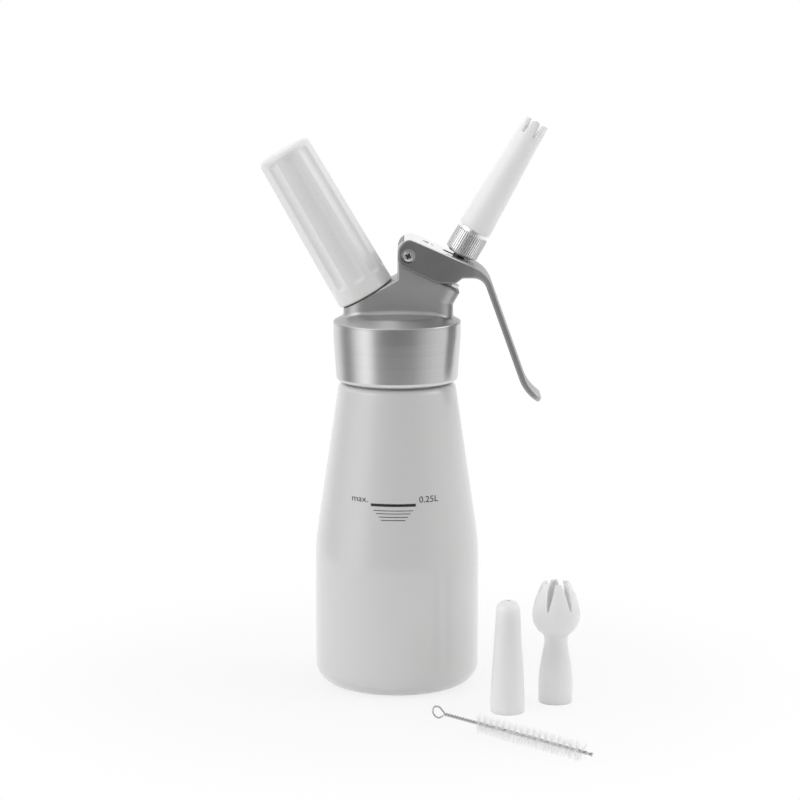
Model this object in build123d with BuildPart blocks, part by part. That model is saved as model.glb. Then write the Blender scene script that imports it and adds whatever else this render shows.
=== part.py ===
from build123d import *
import os
from math import atan2, cos, degrees, radians, sin, tan

# Whipped cream dispenser of the quarter-litre size, with two spare nozzles and a cleaning brush.
# Millimetres. The origin is the centre of the bottle's base on the table and +Z is up.
# +X points towards the lever's handle and -Y is the front. The head carries two branches that
# lean apart in the XZ plane: the charger holder towards -X and the valve with its nozzle towards +X.

os.makedirs("parts", exist_ok=True)

# ---------------------------------------------------------------- clearances
seat_gap = 0.1  # between flat faces that meet across a joint
thread_gap = 0.1  # radial, between threads that screw together
running_gap = 0.05  # radial, between a shaft and its bore
insert_gap = 0.03  # radial, between a moulded pocket and its metal insert
swing_gap = 0.3  # between the lever and what it swings past
lift_gap = 0.3  # radial, between loose rings and the bore they lie in
cut_margin = 1.0  # how far a cut runs past the face it starts from

# ---------------------------------------------------------------- bottle
bottle_radius = 34.0
bottle_wall = 1.5
base_wall = 1.8
base_corner_radius = 8.8
side_height = 59.1  # corner between the straight side and the cone
side_blend_radius = 110.0
shoulder_height = 126.8
shoulder_radius = 24.05
shoulder_corner_radius = 2.9
neck_radius = 21.3
neck_wall = 2.2
neck_length = 19.2
neck_root_radius = 0.2
neck_lip_radius = 0.8

# ---------------------------------------------------------------- head
skirt_foot_gap = 0.6
skirt_foot_radius = 24.95
skirt_foot_corner = 2.0
skirt_radius = 26.2
skirt_flare_length = 18.6
skirt_blend_radius = 60.0
skirt_length = 24.7
skirt_top_corner = 0.5
crown_shoulder_radius = 20.5
crown_shoulder_rise = 3.1
crown_blend_radius = 6.0
crown_rise = 4.9
gasket_thickness = 1.8
gasket_width = 3.0
chamber_radius = 17.8
chamber_depth = 2.5
chamber_corner = 2.0
block_half_width = 10.4
block_left = 22.0
block_right = 22.9
block_left_corner = 8.5
block_right_corner = 6.5
block_edge_radius = 0.8
block_root_radius = 2.0
block_foot_rise = 1.0  # above the chamber's top, inside the crown
branch_tilt = 30.0

# ---------------------------------------------------------------- gas branch
rim_x = -12.8
rim_rise = 11.55
stub_radius = 9.6
stub_length = 8.0
holder_seat_gap = 0.5
inlet_ledge_depth = 3.6
inlet_gasket_thickness = 1.2
inlet_bore_radius = 3.2
inlet_mouth_depth = 3.0
inlet_mouth_flare = 2.5
inlet_room_length = 2.0
pin_plug_length = 8.0
pin_nipple_length = 3.8
pin_nipple_radius = 1.5
pin_hole_radius = 0.4
needle_radius = 0.9
needle_tip_radius = 0.55
needle_length = 3.0
needle_point = 1.2
sleeve_wall = 1.1
charger_radius = 8.9
charger_length = 65.5
charger_wall = 1.3
charger_neck_radius = 4.3
charger_neck_length = 8.0
charger_shoulder_length = 8.0
charger_end_radius = 7.5
charger_duct_radius = 2.0
charger_cap_radius = 2.6
charger_cap_thickness = 0.6
charger_cap_hole = 1.2
charger_lip_radius = 0.4
charger_neck_root_radius = 2.0
charger_shoulder_blend = 6.0
charger_duct_mouth_radius = 1.0
charger_cavity_blend = 5.0
holder_rim_radius = 12.3
holder_end_radius = 11.3
holder_bevel_width = 3.3
holder_bevel_length = 1.7
holder_end_wall = 2.7
holder_bore_radius = 9.3
holder_edge_radius = 0.5
insert_wall = 1.4
insert_length = 10.2
insert_recess = 0.3
end_pad_thickness = 1.2
flute_count = 9
flute_width = 4.9
flute_depth = 0.75
flute_start = 6.1

# ---------------------------------------------------------------- valve branch
boss_x = 19.2
boss_rise = 16.2
boss_left_reach = 8.5
boss_right_reach = 7.6
stem_radius = 2.45
stem_bore_radius = 1.4
stem_top = 19.9
stem_spigot_radius = 1.4
port_radius = 0.9
port_depth = 12.4
valve_seat_depth = 15.4
valve_chamber_radius = 4.8
valve_chamber_depth = 24.0
valve_duct_radius = 3.0
seal_radius = 4.2
seal_thickness = 2.0
retainer_radius = 3.2
retainer_thickness = 1.6
nut_size = 11.0  # across flats
nut_height = 1.8
nut_shank_radius = 4.2
nut_shank_length = 6.0
ring_section_radius = 0.6
collar_base = 8.1
collar_radius = 5.0
collar_edge_thickness = 0.9
collar_crown = 0.5
spring_wire_radius = 0.4
spring_mean_radius = 3.6
spring_turns = 3.0
metal_bevel = 0.3
seal_bevel = 0.8
adapter_base = 12.9
adapter_radius = 7.1
adapter_height = 10.3
adapter_bevel_width = 2.1
adapter_bevel_height = 1.4
adapter_top_bevel = 0.4
adapter_neck_radius = 6.0
adapter_neck_height = 1.5
adapter_spigot_radius = 5.2
adapter_spigot_length = 6.2
adapter_duct_radius = 1.6
adapter_washer_thickness = 1.0
knurl_count = 48
knurl_radius = 0.3
nozzle_base_radius = 7.0
nozzle_thread_depth = 8.2
nozzle_wall = 1.35
star_length = 51.4
star_tip_radius = 5.1
star_notch_depth = 7.0
star_notch_width = 2.8
star_notch_angle = 20.0
nozzle_edge_radius = 0.3

# ---------------------------------------------------------------- lever and pivot
pivot_x = 4.6
pivot_rise = 28.1
tongue_radius = 4.4
tongue_run = 3.0
tongue_relief = 0.7  # degrees
lever_travel = 9.0  # degrees
lever_top_slope = 23.8  # degrees below level
lever_half_width = 13.0
plate_rise = 6.83  # pivot to the plate's outer face
plate_thickness = 2.0
strap_thickness = 2.6
strap_slope = 70.3  # degrees below level
strap_tip_slope = 35.0  # degrees below level
strap_tip_length = 6.6
lever_knee_x = 32.3  # pivot to the corner between plate and strap
lever_heel_x = 49.6  # pivot to the corner between strap and tip
knee_radius = 13.0
heel_radius = 16.0
tip_radius = 0.9
cheek_back = 4.2
cheek_back_drop = 3.8
cheek_foot_start = 11.7
cheek_foot_end = 19.3
cheek_foot_drop = 11.2
cheek_arch_start = 22.0
cheek_arch_drop = 9.1
cheek_top_corner = 5.0
cheek_back_corner = 4.5
cheek_foot_corner = 2.0
cheek_arch_corner = 6.0
pocket_corner = 3.0
cheek_plan_end = 26.4
strap_plan_start = 35.4
strap_root_half_width = 10.4
strap_tip_half_width = 9.0
strap_plan_corner = 4.0
lever_edge_radius = 0.8
slot_length = 10.6
slot_width = 5.6
slot_shift = 1.8
oval_length = 5.4
oval_width = 9.0
oval_depth = 0.3
oval_x = 8.2
sleeve_radius = 2.5
screw_radius = 1.5
screw_length = 7.0
screw_head_radius = 2.5
screw_head_height = 1.2
screw_head_dome = 0.4
screw_cross_length = 2.8
screw_cross_width = 0.6
screw_cross_depth = 0.7
screw_cross_turn = 20.0
counterbore_radius = 2.9
counterbore_depth = 1.0

# ---------------------------------------------------------------- loose pieces beside the bottle
plain_x = 44.6
plain_y = -49.2
plain_height = 45.8
plain_foot_height = 5.0
plain_dome_start = 42.0
plain_dome_radius = 4.85
plain_dome_bulge = 1.3
plain_hole_radius = 1.8
tulip_x = 64.7
tulip_y = -34.3
tulip_foot_height = 9.0
tulip_waist_height = 27.4
tulip_waist_radius = 4.8
tulip_belly_height = 35.4
tulip_belly_radius = 9.75
tulip_height = 49.8
tulip_tip_radius = 5.6
tulip_throat_step = 0.6
tulip_slot_foot = 37.0
tulip_slot_width = 3.2
tulip_slot_angle = 36.0
petal_count = 6
brush_x = 16.5
brush_y = -65.6
brush_direction = -45.0  # degrees from +X
bristle_radius = 4.2
bristle_start = 21.8
bristle_end = 76.5
bristle_end_bevel = 1.0
brush_length = 81.5
brush_wire_radius = 0.4
brush_stem_radius = 0.9
brush_stem_start = 4.3
brush_loop_radius = 2.3
brush_loop_shift = 0.8

# ---------------------------------------------------------------- heights and shared radii
neck_top = shoulder_height + neck_length
skirt_foot = shoulder_height + skirt_foot_gap
skirt_top = skirt_foot + skirt_length
head_seat = neck_top + gasket_thickness + 2 * seat_gap
chamber_top = head_seat + chamber_depth
skirt_bore_radius = neck_radius + thread_gap
pivot_z = skirt_top + pivot_rise
cheek_half_gap = block_half_width + swing_gap
stem_bore_fit = stem_radius + running_gap
rim_centre = (rim_x, 0, skirt_top + rim_rise)
boss_centre = (boss_x, 0, skirt_top + boss_rise)

# Each branch has an axis, a side plane whose local Y runs out along that axis, and a base
# plane across it. Distances along a branch are counted from the holder's rim or the boss's top.


def branch_direction(tilt):
    """Unit vector that leans from +Z towards +X by the tilt in degrees."""
    return (sin(radians(tilt)), 0, cos(radians(tilt)))


def branch_across(tilt):
    """Unit vector in the XZ plane, square to the branch's direction."""
    return (cos(radians(tilt)), 0, -sin(radians(tilt)))


def along(start, tilt, distance, across=0.0):
    """Point of the XZ plane, as (x, z), out along a branch and across it."""
    x = start[0] + distance * sin(radians(tilt)) + across * cos(radians(tilt))
    z = start[2] + distance * cos(radians(tilt)) - across * sin(radians(tilt))
    return (x, z)


def section(inner, outer, low, high):
    """Draw the section of a ring between two radii and two heights in the open sketch."""
    with Locations(((inner + outer) / 2, (low + high) / 2)):
        Rectangle(outer - inner, high - low)


def parallel_corner(first, corner, last, distance):
    """Corner of the line that runs beside first, corner and last at a distance to their right."""
    run_in = (Vector(*corner) - Vector(*first)).normalized()
    run_out = (Vector(*last) - Vector(*corner)).normalized()
    right_in = Vector(run_in.Y, -run_in.X)
    right_out = Vector(run_out.Y, -run_out.X)
    shift = (right_in + right_out) * (distance / (1 + right_in.dot(right_out)))
    return (corner[0] + shift.X, corner[1] + shift.Y)


gas_axis = Axis(rim_centre, branch_direction(-branch_tilt))
gas_side = Plane(origin=rim_centre, x_dir=branch_across(-branch_tilt), z_dir=(0, -1, 0))
gas_base = Plane(
    origin=rim_centre,
    x_dir=branch_across(-branch_tilt),
    z_dir=branch_direction(-branch_tilt),
)
valve_axis = Axis(boss_centre, branch_direction(branch_tilt))
valve_side = Plane(origin=boss_centre, x_dir=branch_across(branch_tilt), z_dir=(0, -1, 0))
valve_base = Plane(
    origin=boss_centre,
    x_dir=branch_across(branch_tilt),
    z_dir=branch_direction(branch_tilt),
)

# ================================================================ bottle
# One drawn shell: flat base, straight side, cone, rounded shoulder and neck.
cone_angle = atan2(bottle_radius - shoulder_radius, shoulder_height - side_height)
inner_radius = bottle_radius - bottle_wall
inner_side_height = side_height - bottle_wall * tan(cone_angle / 2)
inner_shoulder_height = shoulder_height - bottle_wall
inner_shoulder_radius = inner_radius - (inner_shoulder_height - inner_side_height) * tan(cone_angle)
neck_bore_radius = neck_radius - neck_wall

with BuildPart() as bottle:
    with BuildSketch(Plane.XZ):
        with BuildLine():
            FilletPolyline(
                (0, 0),
                (bottle_radius, 0),
                (bottle_radius, side_height),
                (shoulder_radius, shoulder_height),
                (neck_radius, shoulder_height),
                (neck_radius, neck_top),
                (0, neck_top),
                radius=[
                    base_corner_radius,
                    side_blend_radius,
                    shoulder_corner_radius,
                    neck_root_radius,
                    neck_lip_radius,
                ],
            )
            Line((0, neck_top), (0, 0))
        make_face()
    revolve(axis=Axis.Z)
    with BuildSketch(Plane.XZ):
        with BuildLine():
            FilletPolyline(
                (0, base_wall),
                (inner_radius, base_wall),
                (inner_radius, inner_side_height),
                (inner_shoulder_radius, inner_shoulder_height),
                (neck_bore_radius, inner_shoulder_height),
                (neck_bore_radius, neck_top),
                (0, neck_top),
                radius=[
                    base_corner_radius - bottle_wall,
                    side_blend_radius - bottle_wall,
                    shoulder_corner_radius - bottle_wall,
                    neck_wall / 2,
                    0,
                ],
            )
            Line((0, neck_top), (0, base_wall))
        make_face()
    revolve(axis=Axis.Z, mode=Mode.SUBTRACT)
bottle.part.label = "bottle"
export_step(bottle.part, "parts/bottle.step")

# ================================================================ head gasket
gasket_radius = skirt_bore_radius - lift_gap
with BuildPart() as head_gasket:
    with BuildSketch(Plane.XZ):
        section(
            gasket_radius - gasket_width,
            gasket_radius,
            neck_top + seat_gap,
            head_seat - seat_gap,
        )
    revolve(axis=Axis.Z)
head_gasket.part.label = "head_gasket"
export_step(head_gasket.part, "parts/head_gasket.step")

# ================================================================ head casting
# The block above the crown is cut to this outline: the slanted seat of the charger holder, the
# tongue that carries the lever's pivot, and the boss of the valve.
seat_start = along(rim_centre, -branch_tilt, -holder_seat_gap)
seat_slope = tan(radians(branch_tilt))
tongue_left = pivot_x - tongue_radius
tongue_angle = lever_top_slope + lever_travel + tongue_relief
tongue_peak = along((pivot_x, 0, pivot_z), tongue_angle, tongue_radius)
tongue_end = along((pivot_x, 0, pivot_z), tongue_angle, tongue_radius, tongue_run)
boss_left = along(boss_centre, branch_tilt, 0, -boss_left_reach)
boss_right = along(boss_centre, branch_tilt, 0, boss_right_reach)
flank_foot = boss_right[1] - (boss_right[0] - block_right) / tan(radians(branch_tilt))
block_foot = chamber_top + block_foot_rise

with BuildPart() as head_block:
    with BuildSketch(Plane.XZ):
        with BuildLine():
            Polyline(
                (-block_left, block_foot),
                (-block_left, seat_start[1] - (block_left + seat_start[0]) * seat_slope),
                (tongue_left, seat_start[1] + (tongue_left - seat_start[0]) * seat_slope),
                (tongue_left, pivot_z),
            )
            CenterArc((pivot_x, pivot_z), tongue_radius, 180, -90 - tongue_angle)
            Polyline(
                tongue_peak,
                tongue_end,
                boss_left,
                boss_right,
                (block_right, flank_foot),
                (block_right, block_foot),
                (-block_left, block_foot),
            )
        make_face()
    extrude(amount=block_half_width, both=True)
    upright_edges = head_block.edges().filter_by(Axis.Z)
    fillet(upright_edges.group_by(Axis.X)[0], radius=block_left_corner)
    upright_edges = head_block.edges().filter_by(Axis.Z)
    flank_edges = head_block.edges().filter_by(valve_axis)
    fillet(
        upright_edges.group_by(Axis.X)[-1] + flank_edges.group_by(Axis.X)[-1],
        radius=block_right_corner,
    )
    block_edges = head_block.edges().filter_by(Axis.Z, reverse=True)
    fillet(block_edges - block_edges.group_by(Axis.Z)[0], radius=block_edge_radius)

inlet_bore_depth = inlet_ledge_depth + pin_plug_length + pin_nipple_length + inlet_room_length
inlet_mouth_start = stub_length - inlet_mouth_depth
neck_fit_radius = charger_neck_radius + 2 * running_gap
ring_recess_depth = nut_shank_length + 2 * ring_section_radius + 2 * seat_gap
nut_bore_radius = nut_shank_radius + running_gap

with BuildPart() as head_casting:
    # skirt and crown, turned
    with BuildSketch(Plane.XZ):
        with BuildLine():
            FilletPolyline(
                (0, skirt_foot),
                (skirt_foot_radius, skirt_foot),
                (skirt_radius, skirt_foot + skirt_flare_length),
                (skirt_radius, skirt_top),
                (crown_shoulder_radius, skirt_top + crown_shoulder_rise),
                (0, skirt_top + crown_rise),
                radius=[
                    skirt_foot_corner,
                    skirt_blend_radius,
                    skirt_top_corner,
                    crown_blend_radius,
                ],
            )
            Line((0, skirt_top + crown_rise), (0, skirt_foot))
        make_face()
    revolve(axis=Axis.Z)
    add(head_block.part)
    root_edges = head_casting.edges().filter_by(GeomType.CIRCLE, reverse=True)
    root_edges = root_edges.filter_by(GeomType.LINE, reverse=True)
    fillet(
        root_edges.filter_by_position(Axis.Z, skirt_top, skirt_top + crown_rise),
        radius=block_root_radius,
    )
    # threaded stub that the charger holder screws on
    with BuildSketch(gas_side):
        section(0, stub_radius, -holder_seat_gap - inlet_ledge_depth, stub_length)
    revolve(axis=gas_axis)
    # threaded bore of the skirt and the chamber above the gasket's seat
    with BuildSketch(Plane.XZ):
        section(0, skirt_bore_radius, skirt_foot - cut_margin, head_seat)
    revolve(axis=Axis.Z, mode=Mode.SUBTRACT)
    with BuildSketch(Plane.XZ):
        with BuildLine():
            FilletPolyline(
                (0, head_seat - cut_margin),
                (chamber_radius, head_seat - cut_margin),
                (chamber_radius, chamber_top),
                (0, chamber_top),
                radius=[0, chamber_corner],
            )
            Line((0, chamber_top), (0, head_seat - cut_margin))
        make_face()
    revolve(axis=Axis.Z, mode=Mode.SUBTRACT)
    # gas inlet: flared mouth, bore for the charger's neck, ledge and bore for the pin
    with BuildSketch(gas_side):
        section(0, neck_fit_radius, -inlet_ledge_depth, stub_length + cut_margin)
        section(0, inlet_bore_radius, -inlet_bore_depth, -inlet_ledge_depth)
        with BuildLine():
            Polyline(
                (0, inlet_mouth_start),
                (neck_fit_radius, inlet_mouth_start),
                (neck_fit_radius + inlet_mouth_flare, stub_length),
                (0, stub_length),
                close=True,
            )
        make_face()
    revolve(axis=gas_axis, mode=Mode.SUBTRACT)
    # valve bore: nut and O-ring, duct round the stem, valve chamber
    with BuildSketch(valve_side):
        section(0, nut_bore_radius, -ring_recess_depth, nut_height)
        section(0, valve_duct_radius, -valve_seat_depth, -ring_recess_depth)
        section(0, valve_chamber_radius, -valve_chamber_depth, -valve_seat_depth)
    revolve(axis=valve_axis, mode=Mode.SUBTRACT)
    # pivot bore through the tongue
    with BuildSketch(Plane.XZ):
        with Locations((pivot_x, pivot_z)):
            Circle(sleeve_radius + running_gap)
    extrude(amount=block_half_width + cut_margin, both=True, mode=Mode.SUBTRACT)
head_casting.part.label = "head_casting"
export_step(head_casting.part, "parts/head_casting.step")

# ================================================================ gas inlet
pin_top = -inlet_ledge_depth
pin_foot = pin_top - pin_plug_length
nipple_foot = pin_foot - pin_nipple_length
needle_top = pin_top + needle_length
inlet_gasket_top = pin_top + inlet_gasket_thickness

with BuildPart() as piercing_pin:
    with BuildSketch(gas_side):
        section(pin_hole_radius, inlet_bore_radius - running_gap, pin_foot, pin_top)
        section(pin_hole_radius, pin_nipple_radius, nipple_foot, pin_foot)
        section(pin_hole_radius, needle_radius, pin_top, needle_top - needle_point)
        with BuildLine():
            Polyline(
                (pin_hole_radius, needle_top - needle_point),
                (needle_radius, needle_top - needle_point),
                (needle_tip_radius, needle_top),
                (pin_hole_radius, needle_top),
                close=True,
            )
        make_face()
    revolve(axis=gas_axis)
piercing_pin.part.label = "piercing_pin"
export_step(piercing_pin.part, "parts/piercing_pin.step")

with BuildPart() as pin_gasket:
    with BuildSketch(gas_side):
        section(
            needle_radius + lift_gap,
            neck_fit_radius - running_gap,
            pin_top,
            inlet_gasket_top,
        )
    revolve(axis=gas_axis)
pin_gasket.part.label = "pin_gasket"
export_step(pin_gasket.part, "parts/pin_gasket.step")

sleeve_bore = pin_nipple_radius + running_gap
with BuildPart() as check_valve_sleeve:
    with BuildSketch(gas_side):
        section(
            sleeve_bore,
            sleeve_bore + sleeve_wall,
            nipple_foot + seat_gap,
            pin_foot - seat_gap,
        )
    revolve(axis=gas_axis)
check_valve_sleeve.part.label = "check_valve_sleeve"
export_step(check_valve_sleeve.part, "parts/check_valve_sleeve.step")

# ================================================================ gas charger
# Drawn steel capsule: neck down in the inlet, shoulder, long body and rounded end.
charger_tip = inlet_gasket_top + seat_gap
charger_end = charger_tip + charger_length
shoulder_start = charger_tip + charger_neck_length
shoulder_end = shoulder_start + charger_shoulder_length
cavity_radius = charger_radius - charger_wall

with BuildPart() as gas_charger:
    with BuildSketch(gas_side):
        with BuildLine():
            FilletPolyline(
                (0, charger_tip),
                (charger_neck_radius, charger_tip),
                (charger_neck_radius, shoulder_start),
                (charger_radius, shoulder_end),
                (charger_radius, charger_end),
                (0, charger_end),
                radius=[
                    charger_lip_radius,
                    charger_neck_root_radius,
                    charger_shoulder_blend,
                    charger_end_radius,
                ],
            )
            Line((0, charger_end), (0, charger_tip))
        make_face()
    revolve(axis=gas_axis)
    with BuildSketch(gas_side):
        with BuildLine():
            FilletPolyline(
                (0, charger_tip),
                (charger_duct_radius, charger_tip),
                (charger_duct_radius, shoulder_start + charger_wall),
                (cavity_radius, shoulder_end + 2 * charger_wall),
                (cavity_radius, charger_end - charger_wall),
                (0, charger_end - charger_wall),
                radius=[
                    0,
                    charger_duct_mouth_radius,
                    charger_cavity_blend,
                    charger_end_radius - charger_wall,
                ],
            )
            Line((0, charger_end - charger_wall), (0, charger_tip))
        make_face()
        section(0, charger_cap_radius, charger_tip, charger_tip + charger_cap_thickness)
    revolve(axis=gas_axis, mode=Mode.SUBTRACT)
gas_charger.part.label = "gas_charger"
export_step(gas_charger.part, "parts/gas_charger.step")

with BuildPart() as charger_cap:
    with BuildSketch(gas_side):
        section(
            charger_cap_hole,
            charger_cap_radius - insert_gap,
            charger_tip + insert_gap,
            charger_tip + charger_cap_thickness,
        )
    revolve(axis=gas_axis)
charger_cap.part.label = "charger_cap"
export_step(charger_cap.part, "parts/charger_cap.step")

# ================================================================ charger holder
pad_foot = charger_end + seat_gap
holder_inner_end = pad_foot + end_pad_thickness
holder_end = holder_inner_end + holder_end_wall
holder_side_length = holder_end - holder_bevel_length
holder_taper = degrees(atan2(holder_rim_radius - holder_end_radius, holder_side_length))
insert_bore_radius = stub_radius + thread_gap
insert_radius = insert_bore_radius + insert_wall
pocket_radius = insert_radius + insert_gap
pocket_depth = insert_recess + insert_length

# A flute is the shallow cut of a round cutter that runs along the tapered side.
cutter_radius = ((flute_width / 2) ** 2 + flute_depth**2) / (2 * flute_depth)
flute_floor = holder_rim_radius - flute_start * tan(radians(holder_taper)) - flute_depth
flute_plane = Plane(
    origin=gas_base.offset(flute_start).origin - gas_base.y_dir * (flute_floor + cutter_radius),
    x_dir=gas_base.x_dir,
    z_dir=gas_base.z_dir.rotate(Axis((0, 0, 0), gas_base.x_dir), -holder_taper),
)
with BuildPart() as flute_cutter:
    with BuildSketch(flute_plane):
        Circle(cutter_radius)
    extrude(amount=holder_end)

with BuildPart() as charger_holder:
    with BuildSketch(gas_side):
        with BuildLine():
            FilletPolyline(
                (0, 0),
                (holder_rim_radius, 0),
                (holder_end_radius, holder_side_length),
                (holder_end_radius - holder_bevel_width, holder_end),
                (0, holder_end),
                radius=[holder_edge_radius, 2 * holder_edge_radius, 2 * holder_edge_radius],
            )
            Line((0, holder_end), (0, 0))
        make_face()
    revolve(axis=gas_axis)
    for flute in range(flute_count):
        add(flute_cutter.part.rotate(gas_axis, flute * 360 / flute_count), mode=Mode.SUBTRACT)
    with BuildSketch(gas_side):
        section(0, pocket_radius, 0, pocket_depth)
        section(0, holder_bore_radius, pocket_depth, holder_inner_end)
    revolve(axis=gas_axis, mode=Mode.SUBTRACT)
charger_holder.part.label = "charger_holder"
export_step(charger_holder.part, "parts/charger_holder.step")

with BuildPart() as holder_thread_insert:
    with BuildSketch(gas_side):
        section(insert_bore_radius, insert_radius, insert_recess, pocket_depth)
    revolve(axis=gas_axis)
holder_thread_insert.part.label = "holder_thread_insert"
export_step(holder_thread_insert.part, "parts/holder_thread_insert.step")

with BuildPart() as holder_end_pad:
    with BuildSketch(gas_side):
        section(0, holder_bore_radius - lift_gap, pad_foot, holder_inner_end)
    revolve(axis=gas_axis)
holder_end_pad.part.label = "holder_end_pad"
export_step(holder_end_pad.part, "parts/holder_end_pad.step")

# ================================================================ valve
with BuildPart() as valve_guide_nut:
    with BuildSketch(valve_base):
        RegularPolygon(nut_size / 2, 6, major_radius=False)
    extrude(amount=nut_height)
    chamfer(valve_guide_nut.faces().sort_by(valve_axis)[-1].edges(), length=metal_bevel)
    with BuildSketch(valve_base):
        Circle(nut_shank_radius)
    extrude(amount=-nut_shank_length)
    with BuildSketch(valve_base.offset(-nut_shank_length)):
        Circle(stem_bore_fit)
    extrude(amount=nut_shank_length + nut_height, mode=Mode.SUBTRACT)
valve_guide_nut.part.label = "valve_guide_nut"
export_step(valve_guide_nut.part, "parts/valve_guide_nut.step")

ring_middle = -nut_shank_length - seat_gap - ring_section_radius
with BuildPart() as guide_o_ring:
    with BuildSketch(valve_side):
        with Locations((stem_bore_fit + ring_section_radius, ring_middle)):
            Circle(ring_section_radius)
    revolve(axis=valve_axis)
guide_o_ring.part.label = "guide_o_ring"
export_step(guide_o_ring.part, "parts/guide_o_ring.step")

seal_top = -valve_seat_depth - 2 * seat_gap
seal_foot = seal_top - seal_thickness
retainer_foot = seal_foot - retainer_thickness

with BuildPart() as valve_stem:
    with BuildSketch(valve_side):
        section(0, stem_radius, seal_top, stem_top)
        section(0, stem_spigot_radius, retainer_foot - seat_gap, seal_top)
    revolve(axis=valve_axis)
    chamfer(valve_stem.edges().sort_by(valve_axis)[-1], length=metal_bevel)
    with BuildSketch(valve_base.offset(-port_depth - stem_bore_radius)):
        Circle(stem_bore_radius)
    extrude(amount=port_depth + stem_bore_radius + stem_top, mode=Mode.SUBTRACT)
    with BuildSketch(valve_side):
        with Locations((0, -port_depth)):
            Circle(port_radius)
    extrude(amount=2 * stem_radius, both=True, mode=Mode.SUBTRACT)
valve_stem.part.label = "valve_stem"
export_step(valve_stem.part, "parts/valve_stem.step")

with BuildPart() as valve_seal:
    with BuildSketch(valve_side):
        section(stem_spigot_radius + insert_gap, seal_radius, seal_foot, seal_top)
    revolve(axis=valve_axis)
    seal_edges = valve_seal.edges().group_by(valve_axis)[-1]
    chamfer(seal_edges.sort_by(SortBy.RADIUS)[-1], length=seal_bevel)
valve_seal.part.label = "valve_seal"
export_step(valve_seal.part, "parts/valve_seal.step")

with BuildPart() as seal_retainer:
    with BuildSketch(valve_side):
        section(stem_spigot_radius + insert_gap, retainer_radius, retainer_foot, seal_foot)
    revolve(axis=valve_axis)
seal_retainer.part.label = "seal_retainer"
export_step(seal_retainer.part, "parts/seal_retainer.step")

# The collar's top is crowned, because the lever's plate rocks on it through its travel.
collar_edge = collar_base + collar_edge_thickness
with BuildPart() as stem_collar:
    with BuildSketch(valve_side):
        with BuildLine():
            Line((0, collar_base), (collar_radius, collar_base))
            Line((collar_radius, collar_base), (collar_radius, collar_edge))
            ThreePointArc(
                (collar_radius, collar_edge),
                (collar_radius / 2, collar_edge + 0.75 * collar_crown),
                (0, collar_edge + collar_crown),
            )
            Line((0, collar_edge + collar_crown), (0, collar_base))
        make_face()
    revolve(axis=valve_axis)
    with BuildSketch(valve_base.offset(collar_base)):
        Circle(stem_radius + insert_gap)
    extrude(amount=collar_edge_thickness + collar_crown, mode=Mode.SUBTRACT)
stem_collar.part.label = "stem_collar"
export_step(stem_collar.part, "parts/stem_collar.step")

spring_foot = nut_height + seat_gap + spring_wire_radius
spring_height = collar_base - seat_gap - spring_wire_radius - spring_foot
with BuildPart() as valve_spring:
    with BuildLine() as spring_coil:
        Helix(
            spring_height / spring_turns,
            spring_height,
            spring_mean_radius,
            center=valve_base.offset(spring_foot).origin,
            direction=valve_base.z_dir,
        )
    with BuildSketch(Plane(spring_coil.wire() @ 0, z_dir=spring_coil.wire() % 0)):
        Circle(spring_wire_radius)
    sweep(path=spring_coil.wire(), is_frenet=True)
valve_spring.part.label = "valve_spring"
export_step(valve_spring.part, "parts/valve_spring.step")

# ================================================================ nozzle adapter
adapter_top = adapter_base + adapter_height
adapter_face = adapter_top + adapter_neck_height
adapter_end = adapter_face + adapter_spigot_length
washer_foot = stem_top + seat_gap
adapter_thread_top = washer_foot + adapter_washer_thickness + seat_gap
nozzle_foot = adapter_face + seat_gap

with BuildPart() as adapter_washer:
    with BuildSketch(valve_side):
        section(
            stem_bore_radius,
            stem_radius,
            washer_foot,
            washer_foot + adapter_washer_thickness,
        )
    revolve(axis=valve_axis)
adapter_washer.part.label = "adapter_washer"
export_step(adapter_washer.part, "parts/adapter_washer.step")

with BuildPart() as nozzle_adapter:
    with BuildSketch(valve_side):
        with BuildLine():
            Polyline(
                (0, adapter_base),
                (adapter_radius - adapter_bevel_width, adapter_base),
                (adapter_radius, adapter_base + adapter_bevel_height),
                (adapter_radius, adapter_top - adapter_top_bevel),
                (adapter_radius - adapter_top_bevel, adapter_top),
                (0, adapter_top),
                close=True,
            )
        make_face()
        section(0, adapter_neck_radius, adapter_top, adapter_face)
        section(0, adapter_spigot_radius, adapter_face, adapter_end)
    revolve(axis=valve_axis)
    with BuildSketch(valve_base.offset(adapter_base + adapter_bevel_height)):
        with PolarLocations(adapter_radius, knurl_count):
            Circle(knurl_radius)
    extrude(amount=adapter_height - adapter_bevel_height, mode=Mode.SUBTRACT)
    with BuildSketch(valve_side):
        section(0, stem_radius + running_gap, adapter_base, adapter_thread_top)
        section(0, adapter_duct_radius, adapter_thread_top, adapter_end)
    revolve(axis=valve_axis, mode=Mode.SUBTRACT)
nozzle_adapter.part.label = "nozzle_adapter"
export_step(nozzle_adapter.part, "parts/nozzle_adapter.step")

# ================================================================ star nozzle
nozzle_bore_radius = adapter_spigot_radius + thread_gap
star_tip = nozzle_foot + star_length
star_thread_top = nozzle_foot + nozzle_thread_depth
star_thread_share = nozzle_thread_depth / star_length
star_thread_outer = nozzle_base_radius + (star_tip_radius - nozzle_base_radius) * star_thread_share

with BuildPart() as notch_cutter:
    with BuildSketch(valve_side):
        with BuildLine():
            Polyline(
                (-star_notch_width / 2, star_tip + cut_margin),
                (-nozzle_edge_radius, star_tip - star_notch_depth),
                (nozzle_edge_radius, star_tip - star_notch_depth),
                (star_notch_width / 2, star_tip + cut_margin),
                close=True,
            )
        make_face()
    extrude(amount=2 * star_tip_radius, both=True)

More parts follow.
